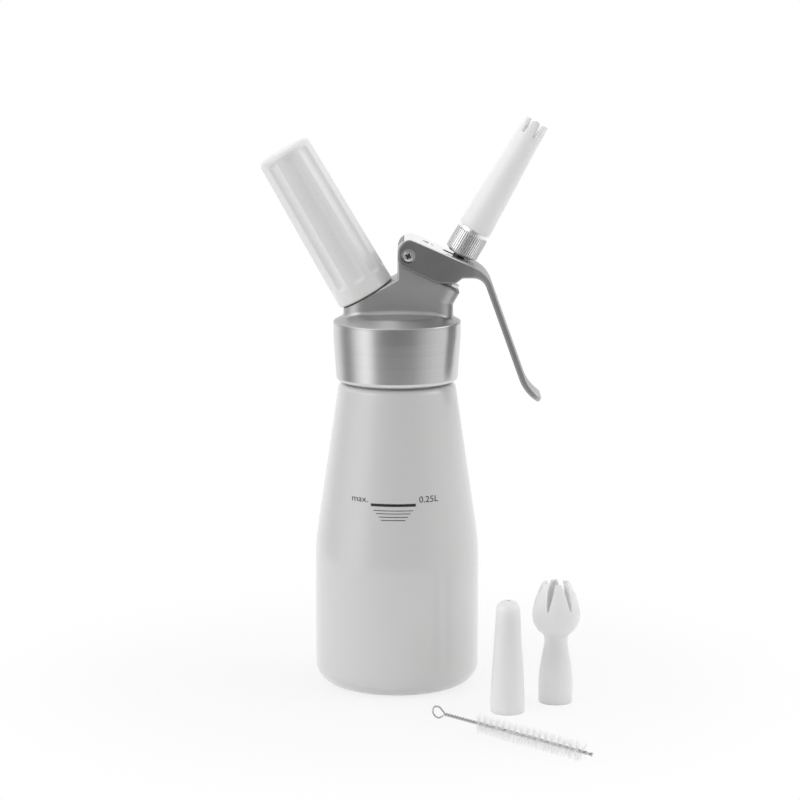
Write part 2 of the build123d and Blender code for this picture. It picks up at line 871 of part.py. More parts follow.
with BuildPart() as star_nozzle:
    with BuildSketch(valve_side):
        with BuildLine():
            FilletPolyline(
                (0, nozzle_foot),
                (nozzle_base_radius, nozzle_foot),
                (star_tip_radius, star_tip),
                (0, star_tip),
                radius=[nozzle_edge_radius, nozzle_edge_radius],
            )
            Line((0, star_tip), (0, nozzle_foot))
        make_face()
    revolve(axis=valve_axis)
    with BuildSketch(valve_side):
        section(0, nozzle_bore_radius, nozzle_foot, star_thread_top)
        with BuildLine():
            Polyline(
                (0, star_thread_top),
                (star_thread_outer - nozzle_wall, star_thread_top),
                (star_tip_radius - nozzle_wall, star_tip),
                (0, star_tip),
                close=True,
            )
        make_face()
    revolve(axis=valve_axis, mode=Mode.SUBTRACT)
    for notch in range(petal_count // 2):
        turn = star_notch_angle + notch * 360 / petal_count
        add(notch_cutter.part.rotate(valve_axis, turn), mode=Mode.SUBTRACT)
star_nozzle.part.label = "star_nozzle"
export_step(star_nozzle.part, "parts/star_nozzle.step")

# ================================================================ lever
# Side view, in the XZ plane: the outer face runs from above the pivot along the plate, over the
# knee, down the strap and out along the tip. The strap's inner face runs beside it.


def plate_height(x, rise):
    """Height above the pivot of a line that runs along the plate at a distance from the pivot."""
    return (rise - x * sin(radians(lever_top_slope))) / cos(radians(lever_top_slope))


def from_pivot(point):
    """Point of the XZ plane given from the lever's pivot."""
    return (pivot_x + point[0], pivot_z + point[1])


strap_fall = tan(radians(strap_slope))
tip_run = (cos(radians(strap_tip_slope)), -sin(radians(strap_tip_slope)))
plate_back = (-cheek_back, plate_height(-cheek_back, plate_rise))
knee = (lever_knee_x, plate_height(lever_knee_x, plate_rise))
heel = (lever_heel_x, knee[1] - (lever_heel_x - lever_knee_x) * strap_fall)
tip_outer = (heel[0] + strap_tip_length * tip_run[0], heel[1] + strap_tip_length * tip_run[1])
tip_inner = (
    tip_outer[0] + strap_thickness * tip_run[1],
    tip_outer[1] - strap_thickness * tip_run[0],
)
inner_heel = parallel_corner(knee, heel, tip_outer, strap_thickness)
arch_end = (inner_heel[0] + (inner_heel[1] + cheek_arch_drop) / strap_fall, -cheek_arch_drop)

# The pocket between the cheeks is open below and at the back, under the plate.
pocket_rise = plate_rise - plate_thickness
plate_fall = tan(radians(lever_top_slope))
pocket_knee_x = (
    arch_end[1] - plate_height(0, pocket_rise) + arch_end[0] * strap_fall
) / (strap_fall - plate_fall)
pocket_knee = (pocket_knee_x, plate_height(pocket_knee_x, pocket_rise))
pocket_foot_drop = cheek_foot_drop + cheek_arch_corner
pocket_foot_x = arch_end[0] + (pocket_foot_drop - cheek_arch_drop) / strap_fall
pocket_back_x = -2 * cheek_back

# The slot lets the stem through the plate. Its place along the plate follows the valve's axis.
boss_from_pivot = (boss_x - pivot_x, boss_rise - pivot_rise)
stem_lean = radians(branch_tilt - lever_top_slope)
stem_crossing = (
    boss_from_pivot[0] * cos(radians(lever_top_slope))
    - boss_from_pivot[1] * sin(radians(lever_top_slope))
    + (
        plate_rise
        - plate_thickness / 2
        - boss_from_pivot[0] * sin(radians(lever_top_slope))
        - boss_from_pivot[1] * cos(radians(lever_top_slope))
    )
    * tan(stem_lean)
)
oval_run = (oval_x - plate_rise * sin(radians(lever_top_slope))) / cos(radians(lever_top_slope))
plate_face = Plane(
    origin=(pivot_x, 0, pivot_z),
    x_dir=branch_across(lever_top_slope),
    z_dir=branch_direction(lever_top_slope),
).offset(plate_rise)
lever_plan_left = pivot_x + pocket_back_x

with BuildPart() as lever:
    with BuildSketch(Plane.XZ):
        with BuildLine():
            FilletPolyline(
                from_pivot(plate_back),
                from_pivot((-cheek_back, -cheek_back_drop)),
                from_pivot((cheek_foot_start, -cheek_foot_drop)),
                from_pivot((cheek_foot_end, -cheek_foot_drop)),
                from_pivot((cheek_arch_start, -cheek_arch_drop)),
                from_pivot(arch_end),
                from_pivot(inner_heel),
                from_pivot(tip_inner),
                from_pivot(tip_outer),
                from_pivot(heel),
                from_pivot(knee),
                close=True,
                radius=[
                    cheek_top_corner,
                    cheek_back_corner,
                    cheek_foot_corner,
                    cheek_foot_corner,
                    cheek_foot_corner,
                    cheek_arch_corner,
                    heel_radius + strap_thickness,
                    tip_radius,
                    tip_radius,
                    heel_radius,
                    knee_radius,
                ],
            )
        make_face()
    extrude(amount=lever_half_width, both=True)
    # narrower strap with rounded end corners, in plan view
    with BuildSketch(Plane.XY.offset(pivot_z)):
        with BuildLine():
            FilletPolyline(
                (lever_plan_left, lever_half_width),
                (pivot_x + cheek_plan_end, lever_half_width),
                (pivot_x + strap_plan_start, strap_root_half_width),
                (pivot_x + tip_outer[0], strap_tip_half_width),
                (pivot_x + tip_outer[0], -strap_tip_half_width),
                (pivot_x + strap_plan_start, -strap_root_half_width),
                (pivot_x + cheek_plan_end, -lever_half_width),
                (lever_plan_left, -lever_half_width),
                close=True,
                radius=[
                    0,
                    cheek_arch_corner,
                    cheek_arch_corner,
                    strap_plan_corner,
                    strap_plan_corner,
                    cheek_arch_corner,
                    cheek_arch_corner,
                    0,
                ],
            )
        make_face()
    extrude(amount=2 * pivot_z, both=True, mode=Mode.INTERSECT)
    side_edges = lever.edges().filter_by(Axis.Y, reverse=True).filter_by(Axis.Z, reverse=True)
    fillet(side_edges, radius=lever_edge_radius)
    # pocket between the cheeks
    with BuildSketch(Plane.XZ):
        with BuildLine():
            FilletPolyline(
                from_pivot((pocket_back_x, plate_height(pocket_back_x, pocket_rise))),
                from_pivot(pocket_knee),
                from_pivot((pocket_foot_x, -pocket_foot_drop)),
                from_pivot((pocket_back_x, -pocket_foot_drop)),
                close=True,
                radius=[0, pocket_corner, 0, 0],
            )
        make_face()
    extrude(amount=cheek_half_gap, both=True, mode=Mode.SUBTRACT)
    # slot for the stem and the shallow oval, both in the plate
    with BuildSketch(plate_face):
        with Locations((stem_crossing - slot_shift, 0)):
            SlotOverall(slot_length, slot_width)
    extrude(amount=-2 * plate_thickness, mode=Mode.SUBTRACT)
    with BuildSketch(plate_face):
        with Locations((oval_run, 0)):
            Ellipse(oval_length / 2, oval_width / 2)
    extrude(amount=-oval_depth, mode=Mode.SUBTRACT)
    # screw holes through the cheeks, each with a counterbore outside
    with BuildSketch(Plane.XZ):
        with Locations((pivot_x, pivot_z)):
            Circle(screw_radius + thread_gap)
    extrude(amount=lever_half_width, both=True, mode=Mode.SUBTRACT)
    for side in (-1, 1):
        with BuildSketch(Plane.XZ.offset(side * lever_half_width)):
            with Locations((pivot_x, pivot_z)):
                Circle(counterbore_radius)
        extrude(amount=-side * counterbore_depth, mode=Mode.SUBTRACT)
lever.part.label = "lever"
export_step(lever.part, "parts/lever.step")

# ================================================================ lever pivot
with BuildPart() as pivot_sleeve:
    with BuildSketch(Plane.XZ):
        with Locations((pivot_x, pivot_z)):
            Circle(sleeve_radius)
            Circle(screw_radius + thread_gap, mode=Mode.SUBTRACT)
    extrude(amount=cheek_half_gap, both=True)
pivot_sleeve.part.label = "pivot_sleeve"
export_step(pivot_sleeve.part, "parts/pivot_sleeve.step")

screw_seat = lever_half_width - counterbore_depth
screw_top = screw_seat + screw_head_height
with BuildPart() as pivot_screws:
    for side in (-1, 1):
        with BuildSketch(Plane.XZ.offset(side * screw_seat)):
            with Locations((pivot_x, pivot_z)):
                Circle(screw_radius)
        extrude(amount=-side * screw_length)
        with BuildSketch(Plane.XZ.offset(side * screw_seat)):
            with Locations((pivot_x, pivot_z)):
                Circle(screw_head_radius)
        extrude(amount=side * screw_head_height)
        head_edges = pivot_screws.edges().filter_by(GeomType.CIRCLE).sort_by(Axis.Y)
        fillet(head_edges[0 if side == 1 else -1], radius=screw_head_dome)
        with BuildSketch(Plane.XZ.offset(side * screw_top)):
            with Locations((pivot_x, pivot_z)):
                Rectangle(screw_cross_length, screw_cross_width, rotation=screw_cross_turn)
                Rectangle(screw_cross_width, screw_cross_length, rotation=screw_cross_turn)
        extrude(amount=-side * screw_cross_depth, mode=Mode.SUBTRACT)
pivot_screws.part.label = "pivot_screws"
export_step(pivot_screws.part, "parts/pivot_screws.step")

# ================================================================ plain nozzle
# It stands on its foot. Each station is the outside radius at a height.
plain_stations = (
    (6.95, plain_foot_height),
    (6.45, 16.0),
    (5.85, 24.0),
    (5.25, 35.0),
    (plain_dome_radius, plain_dome_start),
)
plain_axis = Axis((plain_x, plain_y, 0), (0, 0, 1))
plain_side = Plane(origin=(plain_x, plain_y, 0), x_dir=(1, 0, 0), z_dir=(0, -1, 0))
plain_bore_foot_radius = plain_stations[1][0] - nozzle_wall
plain_bore_top_radius = plain_dome_radius - nozzle_wall

with BuildPart() as plain_nozzle:
    with BuildSketch(plain_side):
        with BuildLine():
            Line((0, 0), (nozzle_base_radius, 0))
            Line((nozzle_base_radius, 0), plain_stations[0])
            Spline(*plain_stations)
            ThreePointArc(
                plain_stations[-1],
                (
                    (plain_dome_radius + plain_hole_radius) / 2 + plain_dome_bulge / 2,
                    (plain_dome_start + plain_height) / 2 + plain_dome_bulge / 2,
                ),
                (plain_hole_radius, plain_height),
            )
            Line((plain_hole_radius, plain_height), (0, plain_height))
            Line((0, plain_height), (0, 0))
        make_face()
    revolve(axis=plain_axis)
    with BuildSketch(plain_side):
        section(0, nozzle_bore_radius, 0, nozzle_thread_depth)
        section(0, plain_hole_radius, plain_dome_start - nozzle_wall, plain_height)
        with BuildLine():
            Polyline(
                (0, nozzle_thread_depth),
                (plain_bore_foot_radius, nozzle_thread_depth),
                (plain_bore_top_radius, plain_dome_start - 2 * nozzle_wall),
                (plain_hole_radius, plain_dome_start),
                (0, plain_dome_start),
                close=True,
            )
        make_face()
    revolve(axis=plain_axis, mode=Mode.SUBTRACT)
plain_nozzle.part.label = "plain_nozzle"
export_step(plain_nozzle.part, "parts/plain_nozzle.step")

# ================================================================ tulip nozzle
# A straight foot, an S-shaped neck and a belly that is slotted into six pointed petals.
tulip_stations = (
    (nozzle_base_radius, tulip_foot_height),
    (6.4, 15.0),
    (5.35, 21.0),
    (tulip_waist_radius, tulip_waist_height),
    (7.1, 30.6),
    (tulip_belly_radius, tulip_belly_height),
    (8.7, 41.8),
    (tulip_tip_radius, tulip_height),
)
tulip_bore_stations = (
    (tulip_waist_radius - nozzle_wall, tulip_waist_height),
    (5.48, 31.6),
    (tulip_belly_radius - nozzle_wall, 35.8),
    (7.35, 41.5),
    (tulip_tip_radius - nozzle_wall, tulip_height),
)
tulip_throat_radius = nozzle_bore_radius - tulip_throat_step
tulip_axis = Axis((tulip_x, tulip_y, 0), (0, 0, 1))
tulip_side = Plane(origin=(tulip_x, tulip_y, 0), x_dir=(1, 0, 0), z_dir=(0, -1, 0))

with BuildPart() as slot_cutter:
    with BuildSketch(tulip_side):
        with BuildLine():
            Polyline(
                (-tulip_slot_width / 2, tulip_height + cut_margin),
                (-nozzle_edge_radius, tulip_slot_foot),
                (nozzle_edge_radius, tulip_slot_foot),
                (tulip_slot_width / 2, tulip_height + cut_margin),
                close=True,
            )
        make_face()
    extrude(amount=2 * tulip_belly_radius, both=True)

with BuildPart() as tulip_nozzle:
    with BuildSketch(tulip_side):
        with BuildLine():
            Line((0, 0), (nozzle_base_radius, 0))
            Line((nozzle_base_radius, 0), tulip_stations[0])
            Spline(*tulip_stations)
            Line(tulip_stations[-1], (0, tulip_height))
            Line((0, tulip_height), (0, 0))
        make_face()
    revolve(axis=tulip_axis)
    with BuildSketch(tulip_side):
        section(0, nozzle_bore_radius, 0, nozzle_thread_depth)
        with BuildLine():
            Line((0, nozzle_thread_depth), (tulip_throat_radius, nozzle_thread_depth))
            Line((tulip_throat_radius, nozzle_thread_depth), tulip_bore_stations[0])
            Spline(*tulip_bore_stations)
            Line(tulip_bore_stations[-1], (0, tulip_height))
            Line((0, tulip_height), (0, nozzle_thread_depth))
        make_face()
    revolve(axis=tulip_axis, mode=Mode.SUBTRACT)
    for slot in range(petal_count // 2):
        turn = tulip_slot_angle + slot * 360 / petal_count
        add(slot_cutter.part.rotate(tulip_axis, turn), mode=Mode.SUBTRACT)
tulip_nozzle.part.label = "tulip_nozzle"
export_step(tulip_nozzle.part, "parts/tulip_nozzle.step")

# ================================================================ cleaning brush
# It lies on its bristles. The side plane's local X runs along the brush and its local Y is up.
brush_run = (cos(radians(brush_direction)), sin(radians(brush_direction)), 0)
brush_side = Plane(
    origin=(brush_x, brush_y, bristle_radius),
    x_dir=brush_run,
    z_dir=Vector(*brush_run).cross(Vector(0, 0, 1)),
)
brush_axis = Axis(brush_side.origin, brush_run)
brush_cross = Plane(origin=brush_side.origin, x_dir=(0, 0, 1), z_dir=brush_run)
loop_run = brush_stem_start + brush_loop_shift
loop_distance = (loop_run**2 + brush_wire_radius**2) ** 0.5
loop_angle = degrees(
    atan2(brush_wire_radius, loop_run)
    + atan2((loop_distance**2 - brush_loop_radius**2) ** 0.5, brush_loop_radius)
)
loop_touch = (
    brush_loop_radius * cos(radians(loop_angle)) - brush_loop_shift,
    brush_loop_radius * sin(radians(loop_angle)),
)

with BuildPart() as brush_wire:
    with BuildLine(brush_side) as loop_path:
        Line((brush_stem_start, brush_wire_radius), loop_touch)
        CenterArc((-brush_loop_shift, 0), brush_loop_radius, loop_angle, 360 - 2 * loop_angle)
        Line((loop_touch[0], -loop_touch[1]), (brush_stem_start, -brush_wire_radius))
    with BuildSketch(Plane(loop_path.wire() @ 0, z_dir=loop_path.wire() % 0)):
        Circle(brush_wire_radius)
    sweep(path=loop_path.wire())
    with BuildSketch(brush_side):
        with BuildLine():
            FilletPolyline(
                (brush_stem_start - brush_wire_radius, 0),
                (brush_stem_start - brush_wire_radius, brush_stem_radius),
                (brush_length, brush_stem_radius),
                (brush_length, 0),
                radius=[brush_wire_radius, brush_wire_radius],
            )
            Line((brush_length, 0), (brush_stem_start - brush_wire_radius, 0))
        make_face()
    revolve(axis=brush_axis)
brush_wire.part.label = "brush_wire"
export_step(brush_wire.part, "parts/brush_wire.step")

with BuildPart() as brush_bristles:
    with BuildSketch(brush_cross.offset(bristle_start)):
        Circle(bristle_radius)
    extrude(amount=bristle_end - bristle_start)
    chamfer(brush_bristles.edges().filter_by(GeomType.CIRCLE), length=bristle_end_bevel)
    with BuildSketch(brush_cross.offset(bristle_start)):
        Circle(brush_stem_radius + insert_gap)
    extrude(amount=bristle_end - bristle_start, mode=Mode.SUBTRACT)
brush_bristles.part.label = "brush_bristles"
export_step(brush_bristles.part, "parts/brush_bristles.step")
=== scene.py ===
from math import acos, atan2, cos, hypot, pi, radians, sin, tan

import bmesh
import bpy
import numpy as np
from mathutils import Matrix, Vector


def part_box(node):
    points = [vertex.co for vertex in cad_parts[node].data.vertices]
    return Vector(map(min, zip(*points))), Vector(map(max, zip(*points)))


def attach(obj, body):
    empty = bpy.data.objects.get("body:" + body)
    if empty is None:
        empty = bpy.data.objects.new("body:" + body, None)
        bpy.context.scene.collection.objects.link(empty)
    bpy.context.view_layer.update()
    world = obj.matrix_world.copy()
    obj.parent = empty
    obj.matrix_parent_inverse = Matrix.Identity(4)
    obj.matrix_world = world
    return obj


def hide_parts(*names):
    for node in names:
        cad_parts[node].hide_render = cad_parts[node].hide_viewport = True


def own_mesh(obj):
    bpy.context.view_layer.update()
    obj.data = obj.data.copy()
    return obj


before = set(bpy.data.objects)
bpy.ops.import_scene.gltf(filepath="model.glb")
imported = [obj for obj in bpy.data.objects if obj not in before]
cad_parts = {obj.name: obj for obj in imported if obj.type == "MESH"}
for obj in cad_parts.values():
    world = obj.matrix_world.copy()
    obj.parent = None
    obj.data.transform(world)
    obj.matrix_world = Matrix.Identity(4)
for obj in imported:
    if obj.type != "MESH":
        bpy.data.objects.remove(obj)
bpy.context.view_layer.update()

bl_info = {
    "name": "Cream Dispenser Pieces",
    "version": (1, 0, 0),
    "blender": (4, 5, 0),
    "location": "View3D > Sidebar > Dispenser",
    "description": "Dresses the packed cream dispenser with its finished pieces and a plain studio",
    "category": "Add Mesh",
}

MM = 0.001
TURN = 2.0 * pi

# The two slanted axes of the head, with the places in millimetres where their pieces start.
VALVE_TILT = radians(30.0)
VALVE_BOSS = (19.2, 0.0, 168.3)
GAS_TILT = radians(-30.0)
GAS_RIM = (-12.8, 0.0, 163.65)

# The lever's plate: its slope, and the height of its face measured square to that slope.
PLATE_LEAN = radians(23.8)
PLATE_FACE = 173.57 * MM

CAMERA_PLACE = (0.001202, -1.165714, 0.321610)
CAMERA_TILT = radians(80.134)
LAMP_PLACE = (0.05, 0.05, 1.1)
LAMP_TARGET = (0.0, 0.0, 0.12)
LAMP_SIZE = (1.2, 0.9)

# Brightness of the cloth round the table: degrees from the front, negative towards the left,
# and a level. The dark front gives the metal its shading, and the bright sides its edges.
TENT_LEVELS = (
    (-180, 1.0), (-155, 1.0), (-132, 1.0), (-114, 0.3), (-98, 0.3), (-84, 0.75),
    (-64, 1.35), (-50, 1.15), (-38, 0.28), (-10, 0.24), (25, 0.25), (42, 0.44),
    (68, 0.74), (92, 0.78), (112, 0.95), (150, 1.0), (180, 1.0),
)
# The same higher up, where it gives the pale pieces their light.
DOME_LEVELS = (
    (-180, 0.8), (-125, 0.8), (-95, 1.1), (-70, 2.2), (-45, 2.0), (-20, 0.4), (0, 0.35),
    (45, 0.35), (65, 1.4), (85, 2.4), (110, 1.2), (140, 0.8), (180, 0.8),
)


# ---------------------------------------------------------------- settings
def length_setting(name, description, value):
    """A setting for a length, with its default in millimetres."""
    return bpy.props.FloatProperty(name=name, description=description, default=value * MM, unit="LENGTH")


def color_setting(name, description, value):
    """A setting for a colour."""
    return bpy.props.FloatVectorProperty(name=name, description=description, default=value, subtype="COLOR")


def level_setting(name, description, value):
    """A setting for a brightness."""
    return bpy.props.FloatProperty(name=name, description=description, default=value, min=0.0)


def count_setting(name, description, value):
    """A setting for a number of like features."""
    return bpy.props.IntProperty(name=name, description=description, default=value, min=3)


def in_mm(settings, *names):
    """Lengths from a group of settings, in millimetres."""
    return [getattr(settings, name) / MM for name in names]


class BottleSettings(bpy.types.PropertyGroup):
    """Sizes and colours of the bottle and its fill mark"""

    radius: length_setting("Radius", "Outside radius of the straight side", 34.0)
    wall: length_setting("Wall", "Thickness of the bottle's side", 1.5)
    side_height: length_setting("Side height", "Height where the cone starts", 59.1)
    shoulder_radius: length_setting("Shoulder radius", "Outside radius at the shoulder", 24.05)
    shoulder_height: length_setting("Shoulder height", "Height of the shoulder", 126.8)
    neck_radius: length_setting("Neck radius", "Outside radius of the neck", 21.3)
    neck_top: length_setting("Neck top", "Height of the neck's rim", 146.0)
    mark_height: length_setting("Mark height", "Height of the thick fill line", 80.8)
    mark_lift: length_setting("Print thickness", "How far the print stands off the enamel", 0.05)
    enamel: color_setting("Enamel", "Colour of the enamel", (0.69, 0.69, 0.687))
    ink: color_setting("Ink", "Colour of the printed mark", (0.02, 0.02, 0.02))


class HeadSettings(bpy.types.PropertyGroup):
    """Colours of the head casting, the lever and the small metal pieces"""

    casting: color_setting("Casting", "Colour of the head's aluminium", (0.68, 0.68, 0.685))
    lever: color_setting("Lever", "Colour of the lever's cheeks", (0.33, 0.33, 0.335))
    # The polish colour is partly painted light: it makes the lever's top near white.
    polish: color_setting("Polish", "Colour of the lever's polished plate", (0.93, 0.93, 0.93))
    steel: color_setting("Steel", "Colour of the bright steel pieces", (0.72, 0.72, 0.73))
    # The valve stem is coloured nearly black.
    dark_stem: color_setting("Blackened steel", "Colour of the valve stem", (0.05, 0.05, 0.052))
    brass: color_setting("Brass", "Colour of the brass pieces", (0.72, 0.5, 0.22))
    rubber: color_setting("Rubber", "Colour of the seals", (0.02, 0.02, 0.021))
    grey_plastic: color_setting("Grey plastic", "Colour of the end pad and the washer", (0.5, 0.5, 0.5))


class HolderSettings(bpy.types.PropertyGroup):
    """Sizes and colour of the charger holder"""

    rim_radius: length_setting("Rim radius", "Outside radius at the rim", 12.3)
    end_radius: length_setting("End radius", "Outside radius before the end bevel", 11.3)
    flutes: count_setting("Flutes", "Number of shallow grooves round the holder", 9)
    flute_turn: bpy.props.FloatProperty(
        name="Flute turn", description="Turn of the first groove from the front",
        default=radians(6.0), subtype="ANGLE",
    )
    flute_width: length_setting("Flute width", "Width of one groove", 5.1)
    flute_depth: length_setting("Flute depth", "Depth of one groove", 0.95)
    plastic: color_setting("Plastic", "Colour of the holder", (0.88, 0.88, 0.88))


class NozzleSettings(bpy.types.PropertyGroup):
    """Sizes and colours of the adapter and the three nozzles"""

    knurls: count_setting("Knurls", "Number of grooves round the adapter", 48)
    knurl_depth: length_setting("Knurl depth", "Depth of one groove", 0.36)
    adapter: color_setting("Adapter", "Colour of the knurled steel", (0.94, 0.94, 0.95))
    teeth: count_setting("Teeth", "Teeth of the star and petals of the tulip", 6)
    notch_depth: length_setting("Notch depth", "Depth of the star's notches", 6.2)
    plastic: color_setting("Plastic", "Colour of the nozzles", (0.96, 0.96, 0.955))


class BrushSettings(bpy.types.PropertyGroup):
    """Sizes and colours of the cleaning brush"""

    stem_twist: length_setting("Stem twist", "Length of one turn of the bare wire", 3.0)
    bristle_twist: length_setting("Bristle twist", "Length of one turn among the bristles", 6.4)
    wire: color_setting("Wire", "Colour of the twisted wire", (0.6, 0.6, 0.61))
    bristles: count_setting("Bristles", "Number of bristles through the wire", 1100)
    bristle_thickness: length_setting("Bristle thickness", "Thickness of one bristle", 0.06)
    nylon: color_setting("Nylon", "Colour of the bristles", (0.97, 0.97, 0.965))


class StudioSettings(bpy.types.PropertyGroup):
    """Camera, floor, lamp and surroundings"""

    lens: bpy.props.FloatProperty(
        name="Lens", description="Focal length for a 36 mm sensor", default=128.77, subtype="DISTANCE_CAMERA"
    )
    floor: color_setting("Floor", "Colour of the floor", (0.93, 0.93, 0.93))
    overhead: bpy.props.FloatProperty(
        name="Overhead lamp", description="Power of the large lamp above", default=2.0, unit="POWER"
    )
    tent: level_setting("Tent", "Brightness of the whole cloth round the table", 1.0)
    dome: level_setting("Dome", "Brightness of the cloth above the table's edge", 1.1)
    zenith: level_setting("Zenith", "Brightness of the cloth straight overhead", 0.4)
    table: length_setting("Table", "Radius of the round white table", 340.0)
    floor_glow: bpy.props.FloatProperty(
        name="Floor glow", description="Share of plain white in the floor beside the object",
        default=0.78, min=0.0, max=1.0,
    )


# ---------------------------------------------------------------- shapes
def unit(vectors):
    """Vectors over their own lengths."""
    return vectors / np.linalg.norm(vectors, axis=-1, keepdims=True)


def rounded(corners, steps=8):
    """A line through corners (across, height) or (across, height, rounding).

    A corner with a rounding is replaced by an arc that touches both of its sides. The arc's centre
    lies on the corner's bisector, its radius over the sine of half the corner's angle away, and the
    arc is sampled in equal turns.
    """
    radii = [corner[2] if len(corner) > 2 else 0.0 for corner in corners]
    corners = [np.array(corner[:2], float) for corner in corners]
    line = [corners[0][None]]
    for before, corner, after, radius in zip(corners, corners[1:], corners[2:], radii[1:]):
        if radius <= 0.0:
            line.append(corner[None])
            continue
        back, ahead = unit(before - corner), unit(after - corner)
        half = acos(float(np.clip(back @ ahead, -1.0, 1.0))) / 2.0
        bisector = unit(back + ahead)
        centre = corner + bisector * radius / sin(half)
        start = corner + back * radius / tan(half) - centre
        square = np.array([-start[1], start[0]])
        turns = -np.sign(square @ bisector) * np.linspace(0.0, pi - 2.0 * half, steps + 1)[:, None]
        line.append(centre + start * np.cos(turns) + square * np.sin(turns))
    line.append(corners[-1][None])
    return np.concatenate(line)


def refined(line, longest):
    """The same line with extra points, so that no run is longer than the given length."""
    line = np.array(line, float)
    runs = []
    for start, end in zip(line, line[1:]):
        count = max(1, int(np.ceil(hypot(*(end - start)) / longest)))
        runs.append(np.linspace(start, end, count, endpoint=False))
    return np.concatenate([*runs, line[-1:]])


def even_turns(count):
    """Equal steps round a full turn, without the last one, which is the first again."""
    return np.linspace(0.0, TURN, count, endpoint=False)


def revolved(radius, height, turns):
    """Points (radius cos turn, radius sin turn, height). Radius and height may change with the turn."""
    return np.stack(np.broadcast_arrays(radius * np.cos(turns), radius * np.sin(turns), height), axis=-1)


def lathe(profile, turns):
    """Grid of a turned surface, from a profile of (radius, height) points."""
    return revolved(profile[:, :1], profile[:, 1:], turns)


def branch(points, origin, tilt):
    """Points given across a tilted axis, towards +Y and along it, placed in the object's frame."""
    axes = np.array([[cos(tilt), 0.0, -sin(tilt)], [0.0, 1.0, 0.0], [sin(tilt), 0.0, cos(tilt)]])
    return np.array(origin) + points @ axes


def tube(path, radius, sides, up):
    """Grid of a round tube: each path point plus radius times the turning normal pair of the path.

    The first normal is the up vector with its part along the path taken off, and the second is
    square to both.
    """
    along = unit(np.gradient(path, axis=0))
    first = unit(up - (up * along).sum(axis=1, keepdims=True) * along)
    second = np.cross(along, first)
    turns = even_turns(sides)[:, None]
    return path[:, None] + radius * (first[:, None] * np.cos(turns) + second[:, None] * np.sin(turns))


def capped(grid):
    """The grid with a centre point before its first row and after its last one, so that it closes."""
    rows = grid[:1], grid[-1:]
    before, after = (np.broadcast_to(row.mean(axis=1, keepdims=True), row.shape) for row in rows)
    return np.concatenate([before, grid, after])


def quads(rows, columns, wrap_rows):
    """Corner numbers of the faces between neighbouring points of a grid whose columns go all round."""
    row = np.arange(rows if wrap_rows else rows - 1)[:, None] * columns
    column = np.arange(columns)
    below, beside = (row + columns) % (rows * columns), (column + 1) % columns
    corners = np.broadcast_arrays(row + column, row + beside, below + beside, below + column)
    return np.stack(corners, axis=-1).reshape(-1, 4)


def skin(name, *grids, wrap_rows=False, sharp=35.0):
    """Mesh object over grids in millimetres, whose edges are sharp past an angle in degrees.

    Points that meet are made one, so poles and seams close.
    """
    starts = np.cumsum([0] + [grid.shape[0] * grid.shape[1] for grid in grids])
    points = np.concatenate([grid.reshape(-1, 3) for grid in grids]) * MM
    faces = [quads(*grid.shape[:2], wrap_rows) + start for grid, start in zip(grids, starts)]
    mesh = bpy.data.meshes.new(name)
    mesh.from_pydata(points, [], np.concatenate(faces))
    welded = bmesh.new()
    welded.from_mesh(mesh)
    bmesh.ops.remove_doubles(welded, verts=welded.verts, dist=0.002 * MM)
    bmesh.ops.recalc_face_normals(welded, faces=welded.faces)
    welded.to_mesh(mesh)
    welded.free()
    mesh.shade_smooth()
    mesh.set_sharp_from_angle(angle=radians(sharp))
    return bpy.data.objects.new(name, mesh)


def flute_dips(profile, turns, flutes, width, depth, start, stop, ease=1.8):
    """Depth of the flutes under a turned surface.

    It is depth * (1 - u^2), with u the distance from the nearest flute's middle over half its
    width, times a smooth rise after start and a smooth fall before stop, each an ease long.
    """
    radius, height = profile[:, :1], profile[:, 1:]
    pitch = TURN / flutes
    offset = (turns + pitch / 2.0) % pitch - pitch / 2.0
    across = radius * np.sin(offset) / (width / 2.0)
    ends = np.clip(np.minimum(height - start, stop - height) / ease, 0.0, 1.0)
    return depth * np.clip(1.0 - across**2, 0.0, None) * ends**2 * (3.0 - 2.0 * ends)


def notched_rim(count, first, half_width, flat, tip, bottom, soften, fine, coarse):
    """Turns round a notched rim, and the rim's height at each of them.

    The turns are close together across each notch and wider apart over each tooth. The height falls
    in a straight line from the tip to the bottom of each notch. Within the flat half width it stays
    at the bottom, and the corner at the tip is eased by the soften length with half of
    (a + b - root of ((a - b)^2 + soften^2)). Widths are angles, and first is a notch's own turn.
    """
    pitch = TURN / count
    notch = np.linspace(-half_width, half_width, fine)
    tooth = np.linspace(half_width, pitch - half_width, coarse)[1:-1]
    turns = (first + np.arange(count)[:, None] * pitch + np.concatenate([notch, tooth])).ravel()
    offset = np.abs((turns - first + pitch / 2.0) % pitch - pitch / 2.0)
    slope = bottom + (tip - bottom) * np.clip((offset - flat) / (half_width - flat), 0.0, 4.0)
    eased = 0.5 * (slope + tip - np.sqrt((slope - tip) ** 2 + soften**2))
    return turns, np.clip(eased, bottom, tip)


def toothed(outer, inner, base, tops, turns, rows):
    """Grid of a tube whose top edge goes up and down.

    The outer rows are level from the foot to the base, and above it they share out each turn's own
    height. The inner rows run back down, and every point lies at the radius that the outer or inner
    profile of (radius, height) points has at its height.
    """
    level = np.linspace(outer[0, 1], base, rows, endpoint=False)[:, None] + 0.0 * tops
    share = np.linspace(0.0, 1.0, 26)[:, None]
    up = np.concatenate([level, base + share * (tops - base)])
    height = np.concatenate([up, up[::-1]])
    sides = [np.interp(rise, side[:, 1], side[:, 0]) for rise, side in ((up, outer), (up[::-1], inner))]
    return revolved(np.concatenate(sides), height, turns)


